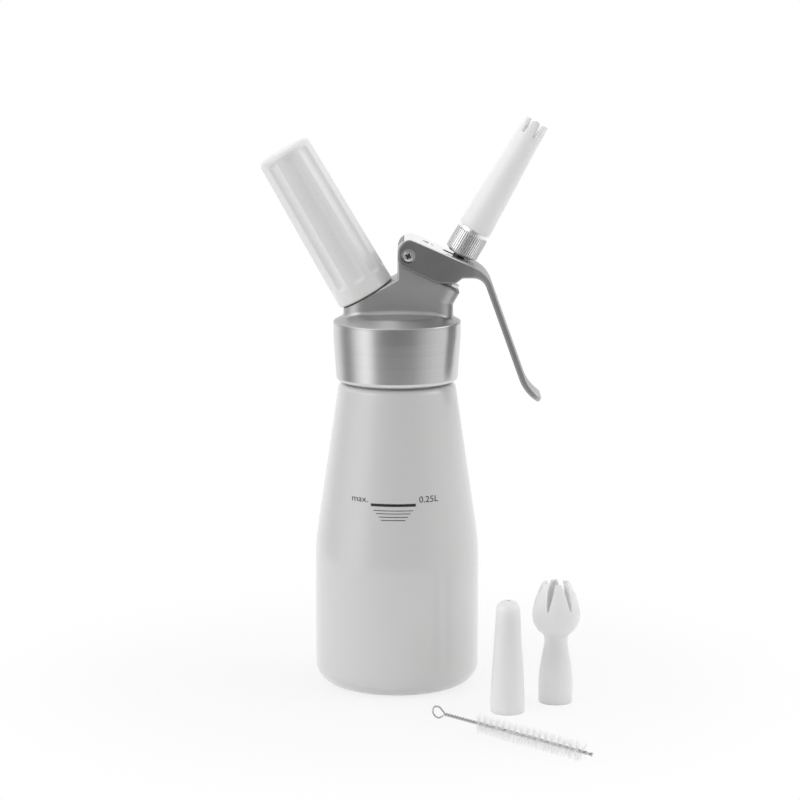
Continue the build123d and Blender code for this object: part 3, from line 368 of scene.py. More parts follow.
def smooth_through(knots, values, where):
    """Cubic Hermite curve through the knots, with each knot's slope the mean of its two runs'."""
    slopes = np.gradient(values, knots)
    index = np.clip(np.searchsorted(knots, where, side="right") - 1, 0, len(knots) - 2)
    run = knots[index + 1] - knots[index]
    t = (where - knots[index]) / run
    low, high = values[index], values[index + 1]
    return (
        low * (2 * t**3 - 3 * t**2 + 1)
        + high * (3 * t**2 - 2 * t**3)
        + slopes[index] * run * (t**3 - 2 * t**2 + t)
        + slopes[index + 1] * run * (t**3 - t**2)
    )


def show(thing):
    """Adds an object to the scene."""
    bpy.context.scene.collection.objects.link(thing)


def place(piece, finish, body, slot, *nodes):
    """Shows a finished piece: its material, the body it rides on and the nodes it stands for. The slot is
    not used.
    """
    show(piece)
    piece.data.materials.append(finish)
    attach(piece, body)
    if nodes:
        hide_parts(*nodes)


def dress(finish, *nodes):
    """Gives CAD nodes that keep their own shape a finished material."""
    for node in nodes:
        for material_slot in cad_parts[node].material_slots:
            material_slot.material = finish


# ---------------------------------------------------------------- materials
def both_ways(operation):
    """An operator that adds a Math node, and its reflected form."""
    return (
        lambda wire, other: wire.wiring.math(operation, wire, other),
        lambda wire, other: wire.wiring.math(operation, other, wire),
    )


class Wire:
    """A socket's value in shader arithmetic. Each operator adds one Math node."""

    __add__, __radd__ = both_ways("ADD")
    __sub__, __rsub__ = both_ways("SUBTRACT")
    __mul__, __rmul__ = both_ways("MULTIPLY")
    __truediv__, __rtruediv__ = both_ways("DIVIDE")
    __pow__, __rpow__ = both_ways("POWER")

    def __init__(self, wiring, socket):
        self.wiring = wiring
        self.socket = socket

    def __abs__(self):
        return self.wiring.math("ABSOLUTE", self)

    def beside(self, name):
        """Another output of the same node."""
        return Wire(self.wiring, self.socket.node.outputs[name])

    def clamped(self):
        """This value, held between 0 and 1."""
        return self.wiring.node("ShaderNodeClamp", {}, {"Value": self})

    def toward(self, goal, share):
        """This value at share 0, the goal at share 1."""
        return self + (goal - self) * share

    def step(self, low, high):
        """0 below low, 1 above high and a smooth rise between."""
        inputs = {"Value": self, "From Min": low, "From Max": high}
        return self.wiring.node("ShaderNodeMapRange", {"interpolation_type": "SMOOTHSTEP"}, inputs)


class Wiring:
    """A node tree that is filled in by expressions on Wires."""

    def __init__(self, tree):
        self.tree = tree

    def feed(self, socket, value):
        """Links a wire to a socket, or sets the socket's own value."""
        if isinstance(value, Wire):
            self.tree.links.new(value.socket, socket)
        else:
            socket.default_value = value

    def node(self, kind, settings, inputs, output=0):
        """Adds a node of a kind: its settings first, then the values or links of its sockets."""
        node = self.tree.nodes.new(kind)
        for key, value in settings.items():
            if key == "stops":
                self.fill(node.color_ramp, value)
            else:
                setattr(node, key, value)
        for key, value in inputs.items():
            self.feed(node.inputs[key], value)
        return Wire(self, node.outputs[output])

    def fill(self, ramp, stops):
        """Gives a ramp its stops, each a position from 0 to 1 and a grey level, joined by a smooth curve."""
        ramp.interpolation = "B_SPLINE"
        while len(ramp.elements) < len(stops):
            ramp.elements.new(1.0)
        for element, (position, level) in zip(ramp.elements, stops):
            element.position = position
            element.color = (level, level, level, 1.0)

    def math(self, operation, *values):
        """A Math node on wires and numbers."""
        return self.node("ShaderNodeMath", {"operation": operation}, dict(enumerate(values)))

    def axes(self, vector):
        """The three parts of a vector."""
        x = self.node("ShaderNodeSeparateXYZ", {}, {"Vector": vector})
        return x, x.beside("Y"), x.beside("Z")

    def radius_and_height(self, vector):
        """Distance of a point from its Z axis, and its place along that axis."""
        x, y, z = self.axes(vector)
        return (x * x + y * y) ** 0.5, z


class Finish(Wiring):
    """A material with one Principled shader, whose patterns are laid on Object coordinates."""

    def __init__(self, name, color, **constants):
        self.material = bpy.data.materials.new(name)
        self.material.use_nodes = True
        super().__init__(self.material.node_tree)
        self.shader = self.tree.nodes["Principled BSDF"]
        self.spot = self.node("ShaderNodeTexCoord", {}, {}, "Object")
        self.set("Base Color", (*color, 1.0))
        for socket, value in constants.items():
            self.set(socket.replace("_", " ").title(), value)

    def set(self, socket, value):
        """Links a wire to the shader's socket, or sets its value."""
        self.feed(self.shader.inputs[socket], value)

    def noise(self, scale, detail=3.0, roughness=0.5, vector=None):
        """Soft noise from 0 to 1."""
        inputs = {"Vector": vector or self.spot, "Scale": scale, "Detail": detail, "Roughness": roughness}
        return self.node("ShaderNodeTexNoise", {}, inputs)

    def blend(self, factor, first, second):
        """Colour that goes from the first to the second as the factor goes from 0 to 1."""
        return self.node("ShaderNodeMix", {"data_type": "RGBA"}, {0: factor, 6: first, 7: second}, 2)

    def tint(self, color, shade):
        """A plain colour times a shade, which is held between 0 and 1."""
        return self.blend(shade, (0.0, 0.0, 0.0, 1.0), (*color, 1.0))

    def done(self, color, roughness, height=None, distance=0.0, strength=1.0):
        """The material, with its colour, roughness and relief from a height wire. Distance is in metres."""
        self.set("Base Color", color)
        self.set("Roughness", roughness)
        if height is not None:
            relief = {"Height": height, "Distance": distance, "Strength": strength}
            self.set("Normal", self.node("ShaderNodeBump", {}, relief, "Normal"))
        return self.material


def enamel_finish(color):
    """Glossy enamel: a hard clear coat over a slightly uneven white."""
    finish = Finish("white enamel", color, coat_weight=1.0, coat_roughness=0.08)
    drift, haze, ripple = (finish.noise(scale, 2.0) for scale in (18.0, 60.0, 420.0))
    return finish.done(finish.tint(color, 0.97 + 0.04 * drift), 0.3 + 0.1 * haze, ripple, 0.03 * MM, 0.35)


def casting_finish(color):
    """Aluminium head: turned rings on the skirt and crown, bead-blasted cast skin on the block.

    The skin starts at the block's foot, which follows the slope of the crown. The turned crown's colour is
    darkened as painted shade.
    """
    crown_edge, crown_slope = 26.2 * MM, 0.19
    finish = Finish("head aluminium", color, metallic=1.0)
    radius, z = finish.radius_and_height(finish.spot)
    turned = finish.node("ShaderNodeCombineXYZ", {}, {"X": radius * 0.35, "Z": z})
    rings = finish.noise(9000.0, 2.0, 0.65, turned)
    bands = finish.noise(1400.0, 1.0, vector=turned)
    grain, cloud = finish.noise(2600.0, 4.0, 0.7), finish.noise(130.0)
    crowned = z.step(150.5 * MM, 153.0 * MM)
    blasted = (z + crown_slope * (crown_edge - radius)).step(156.0 * MM, 157.0 * MM)
    shade = (0.9 + 0.1 * rings + 0.06 * bands).toward(0.68 + 0.14 * grain + 0.12 * cloud, blasted)
    # Painted shade: the turned crown on top of the head is made 22 percent darker.
    shade = shade * (1.0 - 0.22 * crowned * (1.0 - blasted))
    roughness = 0.2 + 0.1 * rings + 0.14 * crowned + blasted * (0.02 + 0.1 * cloud)
    height = rings * (1.0 - blasted) + grain * blasted * 1.6
    return finish.done(finish.tint(color, shade), roughness, height, 0.01 * MM, 0.5)


def lever_finish(color, polish):
    """Cast aluminium lever: blasted grey cheeks, a strap painted paler to its tip and a near-white top
    plate.

    The polish covers the plate and the cheeks' rims between their outer faces, up to where the strap begins.
    Its near-white colour is partly the real polish and partly painted light, the top made pale where light
    from above falls. The strap's paling to its tip is painted light too. Heights are measured square to the
    plate's slope.
    """
    finish = Finish("lever aluminium", color, metallic=1.0)
    grain, cloud = finish.noise(2200.0, 4.0, 0.7), finish.noise(90.0)
    x, y, z = finish.axes(finish.spot)
    height = x * sin(PLATE_LEAN) + z * cos(PLATE_LEAN)
    plate = height.step(PLATE_FACE - 0.55 * MM, PLATE_FACE - 0.35 * MM)
    inside = 1.0 - abs(y).step(12.2 * MM, 12.6 * MM)
    rims = height.step(PLATE_FACE - 9.0 * MM, PLATE_FACE - 7.5 * MM) * inside
    # Real polish and painted light: the plate's top and the cheeks' rims turn near white.
    polish_and_top_light = finish.math("MAXIMUM", plate, rims) * (1.0 - x.step(23.0 * MM, 31.0 * MM))
    # Painted light: the strap grows paler towards its tip.
    strap_light = 0.22 * x.step(20.0 * MM, 34.0 * MM) + 0.78 * x.step(52.0 * MM, 66.0 * MM)
    shade = 0.8 + 0.2 * cloud + 0.1 * grain
    pale = tuple(2.4 * part for part in color)
    blasted = finish.blend(strap_light, finish.tint(color, shade), finish.tint(pale, shade))
    roughness = 0.4 + 0.08 * cloud + 0.06 * grain - 0.26 * polish_and_top_light
    return finish.done(finish.blend(polish_and_top_light, blasted, (*polish, 1.0)), roughness, grain, 0.01 * MM, 0.4)


def drawn_finish(name, color, roughness):
    """Bright metal with fine drawn grain."""
    finish = Finish(name, color, metallic=1.0)
    grain = finish.noise(1800.0, 3.0, 0.6)
    color = finish.tint(color, 0.9 + 0.12 * grain)
    return finish.done(color, roughness + 0.1 * grain, grain, 0.005 * MM, 0.3)


def screw_finish(color, top):
    """Bright screw steel, rougher in the cross recess and darkened there as painted shade, from 0.2 mm under
    the screw's top.
    """
    finish = Finish("screw steel", color, metallic=1.0)
    x, y, z = finish.axes(finish.spot)
    grain = finish.noise(1500.0, 3.0, 0.6)
    # Painted shade: the colour goes dark inside the cross recess.
    recess = (top * MM - abs(y)).step(0.2 * MM, 0.7 * MM)
    color = finish.tint(color, 1.0 + 0.1 * grain - 0.85 * recess)
    return finish.done(color, 0.2 + 0.1 * grain + 0.3 * recess, grain, 0.005 * MM, 0.3)


def knurled_finish(color, axis, peak, depth):
    """Bright steel whose knurled grooves are rougher and darkened as painted shade, found by their distance
    from the ring's axis.

    The painted shade is full at a groove's floor, and fades just under the ridges and inside the ring.
    """
    finish = Finish("adapter steel", color, metallic=1.0)
    start = tuple(value * MM for value in axis)
    moved = finish.node("ShaderNodeVectorMath", {"operation": "SUBTRACT"}, {0: finish.spot, 1: start})
    spot = finish.node("ShaderNodeMapping", {}, {"Vector": moved, "Rotation": (0.0, -VALVE_TILT, 0.0)})
    radius, along = finish.radius_and_height(spot)
    grain = finish.noise(1800.0, 3.0, 0.6, spot)
    ridge = radius.step((peak - depth) * MM, (peak - 0.25 * depth) * MM)
    groove = (1.0 - ridge) * radius.step((peak - depth - 0.15) * MM, (peak - depth - 0.05) * MM)
    # Painted shade: the colour is darkened in the knurl grooves.
    color = finish.tint(color, 0.94 + 0.12 * grain - 0.4 * groove)
    return finish.done(color, 0.3 + 0.1 * grain + 0.3 * groove, grain, 0.005 * MM, 0.3)


def plastic_finish(name, color, roughness, tooth=0.3, soak=0.0):
    """Moulded plastic: textured by its tooth, with faint flow clouds and a share of light that soaks in."""
    finish = Finish(
        name, color, coat_weight=0.3, coat_roughness=0.16,
        subsurface_weight=soak, subsurface_radius=(1.0, 1.0, 1.0), subsurface_scale=4.0 * MM,
    )
    texture, cloud = finish.noise(1500.0, 3.0, 0.6), finish.noise(70.0, 2.0)
    color = finish.tint(color, 0.965 + 0.04 * cloud + 0.015 * texture)
    return finish.done(color, roughness + 0.08 * texture, texture, 0.01 * MM, tooth)


def rubber_finish(color):
    """Black seal rubber with a dusty bloom."""
    finish = Finish("seal rubber", color)
    bloom = finish.noise(500.0, 4.0)
    return finish.done(finish.tint(color, 0.8 + 0.6 * bloom), 0.55 + 0.2 * bloom, bloom, 0.02 * MM, 0.3)


def ink_finish(color):
    """Printed ink, slightly uneven in its cover."""
    finish = Finish("printed ink", color)
    cover = finish.noise(2500.0)
    return finish.done(finish.tint(color, 0.7 + 0.6 * cover), 0.35 + 0.1 * cover)


def bristle_finish(color):
    """White nylon whose bristles differ a little in shade."""
    finish = Finish("bristle nylon", color)
    strand = finish.noise(900.0, 2.0)
    return finish.done(finish.tint(color, 0.85 + 0.2 * strand), 0.35 + 0.15 * strand)


# ---------------------------------------------------------------- operators
class DISPENSER_OT_camera(bpy.types.Operator):
    """Adds the camera in front of the dispenser"""

    bl_idname = "dispenser.camera"
    bl_label = "Camera"

    def execute(self, context):
        camera = bpy.data.cameras.new("camera")
        camera.sensor_width = 36.0
        camera.lens = context.scene.dispenser_studio.lens
        camera.clip_start = 0.05
        camera.clip_end = 60.0
        stand = bpy.data.objects.new("camera", camera)
        stand.location = CAMERA_PLACE
        stand.rotation_euler = (CAMERA_TILT, 0.0, 0.0)
        show(stand)
        context.scene.camera = stand
        return {"FINISHED"}


class DISPENSER_OT_bottle(bpy.types.Operator):
    """Adds the enamelled bottle with its printed fill mark"""

    bl_idname = "dispenser.bottle"
    bl_label = "Bottle"

    def execute(self, context):
        sizes = context.scene.dispenser_bottle
        radius, wall, side = in_mm(sizes, "radius", "wall", "side_height")
        shoulder_radius, shoulder, neck, top = in_mm(
            sizes, "shoulder_radius", "shoulder_height", "neck_radius", "neck_top"
        )
        base, bore = 1.8, neck - 2.2
        lean = atan2(radius - shoulder_radius, shoulder - side)
        inner_side = side - wall * tan(lean / 2.0)
        inner_shoulder = radius - wall - (shoulder - wall - inner_side) * tan(lean)
        outline = [
            (0, 0), (radius, 0, 8.8), (radius, side, 110.0), (shoulder_radius, shoulder, 2.9),
            (neck, shoulder, 0.2), (neck, top, 0.8), (bore, top, 0.5), (bore, shoulder - wall, 1.1),
            (inner_shoulder, shoulder - wall, 1.4), (radius - wall, inner_side, 108.5),
            (radius - wall, base, 7.3), (0, base),
        ]
        profile = refined(rounded(outline, steps=16), 6.0)
        bottle = skin("bottle_shell", lathe(profile, even_turns(192)))
        place(bottle, enamel_finish(sizes.enamel), "bottle", "white_enamel", "bottle")
        self.print_mark(sizes, radius, side, tan(lean))
        return {"FINISHED"}

    def print_mark(self, sizes, radius, side, slope):
        """Adds the fill lines and the words beside them, laid on the cone.

        A point across x and at height z goes to y = -(R(z) + lift) cos a with sin a = x / R(z), and
        R(z) is the cone's radius there.
        """
        ink = ink_finish(sizes.ink)
        lift, mark = in_mm(sizes, "mark_lift", "mark_height")
        sunk, thin, letter, baseline = -0.3, 0.26, 3.55, 81.7

        def wrapped(x, z, height):
            cone = radius - (z - side) * slope
            across = np.sqrt(np.maximum(cone**2 - x**2, 0.0))
            scale = (cone + height) / cone
            return np.stack([x * scale, -across * scale, z], axis=-1)

        strips = []
        for left, right, height, thickness in (
            (-10.6, 7.6, mark, 1.1), (-9.6, 6.5, 78.6, thin), (-8.5, 5.4, 77.4, thin),
            (-7.4, 4.4, 76.05, thin), (-6.5, 3.4, 74.75, thin),
        ):
            x = np.linspace(left, right, 40)[:, None]
            z = height + thickness / 2.0 * np.array([-1.0, 1.0, 1.0, -1.0])
            strips.append(capped(wrapped(*np.broadcast_arrays(x, z, np.array([lift, lift, sunk, sunk])))))
        place(skin("fill_lines", *strips), ink, "bottle", "white_enamel")
        for name, words, left in (("fill_word", "max.", -18.5), ("fill_number", "0.25L", 8.9)):
            text = bpy.data.curves.new(name, "FONT")
            text.body = words
            text.size = letter
            text.extrude = 0.2
            text.resolution_u = 6
            sample = bpy.data.objects.new(name, text)
            show(sample)
            solid = sample.evaluated_get(bpy.context.evaluated_depsgraph_get())
            mesh = bpy.data.meshes.new_from_object(solid)
            bpy.data.objects.remove(sample)
            points = np.empty(len(mesh.vertices) * 3)
            mesh.vertices.foreach_get("co", points)
            x, z, face = points.reshape(-1, 3).T
            placed = wrapped(left + x, baseline + z, np.where(face > 0.0, lift, sunk)) * MM
            mesh.vertices.foreach_set("co", placed.ravel())
            mesh.update()
            place(bpy.data.objects.new(name, mesh), ink, "bottle", "white_enamel")


class DISPENSER_OT_head(bpy.types.Operator):
    """Finishes the head casting and the pieces inside it"""

    bl_idname = "dispenser.head"
    bl_label = "Head"

    def execute(self, context):
        looks = context.scene.dispenser_head
        seals = ("head_gasket", "guide_o_ring", "valve_seal", "pin_gasket", "check_valve_sleeve")
        dress(casting_finish(looks.casting), "head_casting")
        dress(rubber_finish(looks.rubber), *seals)
        dress(drawn_finish("brass", looks.brass, 0.25), "piercing_pin", "holder_thread_insert")
        return {"FINISHED"}


class DISPENSER_OT_lever(bpy.types.Operator):
    """Finishes the squeeze lever with its pivot"""

    bl_idname = "dispenser.lever"
    bl_label = "Lever"

    def execute(self, context):
        looks = context.scene.dispenser_head
        dress(lever_finish(looks.lever, looks.polish), "lever")
        dress(drawn_finish("sleeve steel", looks.steel, 0.2), "pivot_sleeve")
        low, high = (np.array(corner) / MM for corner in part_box("pivot_screws"))
        heads = [self.screw((low + high) / 2.0, side * high[1]) for side in (-1.0, 1.0)]
        screws = skin("cross_screws", *heads, sharp=50.0)
        place(screws, screw_finish(looks.steel, high[1]), "lever", "bright_steel", "pivot_screws")
        return {"FINISHED"}

    def screw(self, middle, top):
        """A domed screw with a cross recess, turned on its face and pushed in where the cross is.

        A point at radius r and turn a of the face lies under its top by the dome's bulge times
        (r / R)^4, and by the recess's depth times the larger of the two arms' covers. An arm's
        cover falls from 1 to 0 over its sloping walls, across and along it.
        """
        face, bulge, recess, cross_turn = 2.05, 0.22, 0.8, radians(20.0)
        half_width, wall, half_length, end = 0.5, 0.32, 1.5, 0.6
        radii = np.linspace(0.0, face, 46)[1:, None]
        turns = even_turns(144)

        def arm(along, across):
            walls = np.clip((half_width - np.abs(across)) / wall, 0.0, 1.0)
            ends = np.clip((half_length - np.abs(along)) / end, 0.0, 1.0)
            return walls * ends

        u, v = radii * np.cos(turns + cross_turn), radii * np.sin(turns + cross_turn)
        under = bulge * (radii / face) ** 4 + recess * np.maximum(arm(u, v), arm(v, u))
        rim = np.array([(face, 0.5), (face, 1.15), (1.5, 1.2), (1.5, 8.0), (0.0, 8.0)])
        radius = np.concatenate([[[0.0]], radii, rim[:, :1]])
        depth = np.concatenate([np.full((1, len(turns)), recess), under, rim[:, 1:] + 0.0 * turns])
        points = revolved(radius, depth, turns)[..., [0, 2, 1]]
        return points * (1.0, -np.sign(top), 1.0) + (middle[0], top, middle[2])


class DISPENSER_OT_valve(bpy.types.Operator):
    """Finishes the valve and adds its coil spring"""

    bl_idname = "dispenser.valve"
    bl_label = "Valve"

    def execute(self, context):
        looks = context.scene.dispenser_head
        steel = drawn_finish("valve steel", looks.steel, 0.14)
        dress(steel, "valve_guide_nut", "stem_collar", "seal_retainer")
        # The valve stem is coloured nearly black.
        dress(drawn_finish("blackened steel", looks.dark_stem, 0.3), "valve_stem")
        seat, foot, rise, coil_radius, wire_radius = 1.9, 2.3, 5.3, 3.6, 0.4
        turn = np.linspace(0.0, 3.0 * TURN, 181)
        coil = revolved(coil_radius, foot + rise * turn / turn[-1], turn)
        wire = capped(tube(coil, wire_radius, 10, np.array([[0.0, 0.0, 1.0]])))
        spring = skin("valve_coil", branch(wire, VALVE_BOSS, VALVE_TILT))
        place(spring, drawn_finish("spring wire", looks.steel, 0.2), "head", "spring_steel", "valve_spring")
        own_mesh(spring)
        return {"FINISHED"}


class DISPENSER_OT_holder(bpy.types.Operator):
    """Adds the fluted charger holder and finishes what is inside it"""

    bl_idname = "dispenser.holder"
    bl_label = "Charger Holder"

    def execute(self, context):
        sizes = context.scene.dispenser_holder
        rim, end, width, depth = in_mm(sizes, "rim_radius", "end_radius", "flute_width", "flute_depth")
        length, side_length, end_flat = 67.7, 66.8, 9.2
        mouth, mouth_depth, bore, bore_depth = 11.23, 10.5, 9.3, 64.5
        start, stop = 6.1, side_length - 1.2
        outer = [(0, length), (end_flat, length, 2.6), (end, side_length, 1.8), (rim, 0, 0.5), (mouth, 0)]
        inner = [(mouth, 0), (mouth, mouth_depth), (bore, mouth_depth), (bore, bore_depth), (0, bore_depth)]
        outer, inner = refined(rounded(outer), 0.4), refined(inner, 12.0)
        turns = even_turns(sizes.flutes * 32)
        from_front = turns + pi / 2.0 - sizes.flute_turn
        dips = flute_dips(outer, from_front, sizes.flutes, width, depth, start, stop)
        radius = np.concatenate([outer[:, :1] - dips, inner[1:, :1] + 0.0 * turns])
        grid = revolved(radius, np.concatenate([outer, inner[1:]])[:, 1:], turns)
        holder = skin("holder_shell", branch(grid, GAS_RIM, GAS_TILT), sharp=45.0)
        plastic = plastic_finish("holder plastic", sizes.plastic, 0.24, 0.1)
        place(holder, plastic, "holder", "white_plastic", "charger_holder")
        looks = context.scene.dispenser_head
        dress(drawn_finish("charger steel", looks.steel, 0.3), "gas_charger", "charger_cap")
        dress(plastic_finish("pad plastic", looks.grey_plastic, 0.5), "holder_end_pad")
        return {"FINISHED"}


class DISPENSER_OT_adapter(bpy.types.Operator):
    """Adds the knurled nozzle adapter"""

    bl_idname = "dispenser.adapter"
    bl_label = "Nozzle Adapter"

    def execute(self, context):
        sizes = context.scene.dispenser_nozzles
        depth, count, radius = sizes.knurl_depth / MM, sizes.knurls, 7.1
        outline = [
            (2.5, 21.1), (2.5, 12.9), (5.0, 12.9, 0.15), (radius, 14.3, 0.15),
            (radius, 23.2, 0.45), (6.0, 23.2), (6.0, 24.7, 0.15), (5.2, 24.7),
            (5.2, 30.9, 0.3), (1.6, 30.9), (1.6, 21.1), (2.5, 21.1),
        ]
        profile = refined(rounded(outline, steps=4)[:-1], 0.8)
        # One groove and ridge: shares of the pitch, each with its share of the groove's depth.
        section = np.array([
            (0.0, 1.0), (0.12, 0.95), (0.24, 0.5), (0.34, 0.0),
            (0.5, 0.0), (0.66, 0.0), (0.76, 0.5), (0.88, 0.95),
        ])
        turns = (np.arange(count)[:, None] + section[:, 0]).ravel() * TURN / count
        groove = radius - depth * np.tile(section[:, 1], count)
        grid = revolved(np.minimum(profile[:, :1], groove), profile[:, 1:], turns)
        ring = skin("adapter_ring", branch(grid, VALVE_BOSS, VALVE_TILT), wrap_rows=True, sharp=30.0)
        steel = knurled_finish(sizes.adapter, VALVE_BOSS, radius, depth)
        place(ring, steel, "adapter", "bright_steel", "nozzle_adapter")
        grey = context.scene.dispenser_head.grey_plastic
        dress(plastic_finish("washer plastic", grey, 0.5), "adapter_washer")
        return {"FINISHED"}


class DISPENSER_OT_nozzles(bpy.types.Operator):
    """Adds the star nozzle on the adapter and the plain and tulip nozzles on the table"""

    bl_idname = "dispenser.nozzles"
    bl_label = "Nozzles"

    def execute(self, context):
        sizes = context.scene.dispenser_nozzles
        firm = plastic_finish("star plastic", sizes.plastic, 0.4, 0.12)
        soft = plastic_finish("nozzle plastic", sizes.plastic, 0.4, 0.12, 0.6)
        for name, grid, plastic, body in (
            ("star", self.star(sizes), firm, "nozzle"),
            ("plain", self.plain(), soft, "plain_nozzle"),
            ("tulip", self.tulip(sizes), soft, "tulip_nozzle"),
        ):
            nozzle = skin(name + "_tip", grid, wrap_rows=True, sharp=32.0)
            place(nozzle, plastic, body, "white_plastic", name + "_nozzle")
        return {"FINISHED"}

    def star(self, sizes):
        """A tapered tube with straight notches, along the valve's axis."""
        foot, tip, rim, bore, half_notch = 24.8, 75.4, 5.1, 5.3, 1.35
        bottom = tip - sizes.notch_depth / MM
        turns, tops = notched_rim(
            sizes.teeth, radians(-70.0), half_notch / rim, flat=0.1,
            tip=tip, bottom=bottom, soften=0.9, fine=13, coarse=9,
        )
        outer = np.array([(6.7, foot), (7.0, foot + 0.3), (rim, tip)])
        inner = np.array([(bore, foot), (bore, 33.0), (5.0, 33.05), (3.85, tip)])
        return branch(toothed(outer, inner, bottom - 1.0, tops, turns, 30), VALVE_BOSS, VALVE_TILT)

    def plain(self):
        """A turned cone whose side is a cubic through its stations, with an elliptic dome on top."""
        foot, top, bulge, hole, bore = 5.0, 42.0, 3.8, 1.1, 5.3
        foot_radius, top_radius, where = 6.95, 4.85, (44.6, -49.2, 0.0)
        stations = [(foot_radius, foot), (6.45, 16.0), (5.85, 24.0), (5.25, 35.0), (top_radius, top)]
        across, up = np.transpose(stations)
        heights = np.linspace(foot, top, 24)
        radii = np.polyval(np.polyfit(up, across, 3), heights)
        quarter = np.linspace(0.0, 1.0, 14)[1:] * pi / 2.0
        dome = hole + (top_radius - hole) * np.cos(quarter), top + bulge * np.sin(quarter)
        inside = [(hole, top), (3.5, 39.3), (5.1, 8.2), (bore, 8.2), (bore, 0.0)]
        rim = rounded([(bore, 0.0), (foot_radius, 0.0, 0.35), (foot_radius, foot)])[1:-1]
        profile = np.concatenate([np.stack([radii, heights], axis=1), np.stack(dome, axis=1), inside, rim])
        return lathe(profile, even_turns(96)) + where

    def tulip(self, sizes):
        """A turned bulb on a waisted foot, with notches between its petals and a thin even wall."""
        tip, bottom, rim, half_notch, where = 49.8, 39.2, 5.6, 1.5, (64.7, -34.3, 0.0)
        turns, tops = notched_rim(
            sizes.teeth, radians(-54.0), half_notch / rim, flat=0.04,
            tip=tip, bottom=bottom, soften=1.2, fine=15, coarse=13,
        )
        knots = np.array([
            (7.0, 0.0), (7.0, 6.0), (7.0, 9.0), (6.4, 15.0), (5.35, 21.0), (4.8, 26.6), (5.1, 28.0),
            (7.3, 29.9), (9.1, 33.0), (9.75, 36.2), (9.4, 39.6), (8.4, 43.2), (7.0, 46.8), (rim, tip),
        ])
        heights = np.linspace(0.0, tip, 160)
        radius = smooth_through(knots[:, 1], knots[:, 0], heights)
        radius[0] -= 0.25
        bore = np.minimum(radius - 1.35, np.where((heights > 8.2) & (heights < 27.0), 4.8, 5.3))
        bore = np.where(heights > 29.0, radius - 1.45, bore)
        outer, inner = (np.stack([side, heights], axis=1) for side in (radius, bore))
        return toothed(outer, inner, bottom - 1.0, tops, turns, 84) + where


class DISPENSER_OT_brush(bpy.types.Operator):
    """Adds the cleaning brush: twisted wire with an end loop, and bristles held in the twist"""

    bl_idname = "dispenser.brush"
    bl_label = "Cleaning Brush"

    stem_start, stem_end, tip, wire_radius = 3.2, 21.8, 81.2, 0.4

    def execute(self, context):
        sizes = context.scene.dispenser_brush
        wire = capped(tube(self.wire_path(sizes), self.wire_radius, 8, np.array([[0.3, 1.0, 0.2]])))
        steel = drawn_finish("brush wire", sizes.wire, 0.1)
        place(skin("twisted_wire", self.placed(wire)), steel, "brush", "spring_steel", "brush_wire")
        rows = [self.placed(capped(grid)) for grid in self.bristle_grids(sizes)]
        bristles = skin("bristle_rows", *rows, sharp=80.0)
        place(bristles, bristle_finish(sizes.nylon), "brush", "white_nylon", "brush_bristles")
        return {"FINISHED"}

    def placed(self, points):
        """Points along the brush, across it and above its axis, laid on the table in front of the bottle."""
        origin, turn = (16.5, -65.6, 4.2), radians(-45.0)
        axes = np.array([[cos(turn), sin(turn), 0.0], [-sin(turn), cos(turn), 0.0], [0.0, 0.0, 1.0]])
        return origin + points @ axes

    def twist(self, sizes, along):
        """Turn of the twist since the loop: quick on the bare wire and slow among the bristles."""
        bare = (np.minimum(along, self.stem_end) - self.stem_start) / (sizes.stem_twist / MM)
        held = np.maximum(along - self.stem_end, 0.0) / (sizes.bristle_twist / MM)
        return TURN * (bare + held)

    def wire_path(self, sizes):
        """One wire's middle line: down the twist as a helix, round the loop and back as the other helix.

        The helix is (s, r cos a, r sin a) with a the twist's turn at s, and the loop is an upright
        ellipse that two straight runs touch.
        """
        radius, start, long, tall, shift = self.wire_radius, self.stem_start, 2.7, 2.3, -0.4
        among = np.linspace(self.tip, self.stem_end, 300, endpoint=False)
        run = np.concatenate([among, np.linspace(self.stem_end, start, 220)])
        turn = self.twist(sizes, run) + pi / 2.0
        first = np.stack([run, radius * np.cos(turn), radius * np.sin(turn)], axis=1)
        second = (first * (1.0, -1.0, -1.0))[::-1]
        away, aside = (start - shift) / long, radius / tall
        touch = atan2(aside, away) + acos(1.0 / hypot(away, aside))
        bend = np.linspace(touch, TURN - touch, 40)
        arc = np.stack([shift + long * np.cos(bend), 0.0 * bend, tall * np.sin(bend)], axis=1)
        return np.concatenate([first, arc, second])

    def bristle_grids(self, sizes):
        """Thin spindles through the wire's axis, each turned with the twist and a little at random.

        A spindle's centre line goes from -1 to 1 times its reach, square to the axis. It leans along
        the axis with the square of that share and bends sideways in proportion to it.
        """
        chance = np.random.default_rng(7)
        count = sizes.bristles
        held = np.linspace(21.9, 76.3, count)
        turn = self.twist(sizes, held) + chance.normal(0.0, 0.42, count)
        reach = 4.08 + chance.uniform(-0.5, 0.06, count)
        lean = chance.normal(0.0, 0.16, (count, 2))[:, :1]
        bend = chance.normal(0.0, 0.12, count)[:, None]
        along, nought = np.array([1.0, 0.0, 0.0]), np.zeros(count)
        radial = np.stack([nought, np.cos(turn), np.sin(turn)], axis=1)[:, None]
        side = np.stack([nought, -np.sin(turn), np.cos(turn)], axis=1)[:, None]
        share = np.array([-1.0, -0.5, 0.5, 1.0])
        out = reach[:, None] * share
        centres = (
            held[:, None, None] * along
            + radial * out[..., None]
            + along * (0.35 * lean * out * share)[..., None]
            + side * (bend * out)[..., None]
        )
        corner = even_turns(3)[:, None]
        ring = sizes.bristle_thickness / MM / 2.0 * (np.cos(corner) * along + np.sin(corner) * side[:, None])
        return centres[:, :, None] + ring * np.array([0.7, 1.0, 1.0, 0.7])[:, None, None]


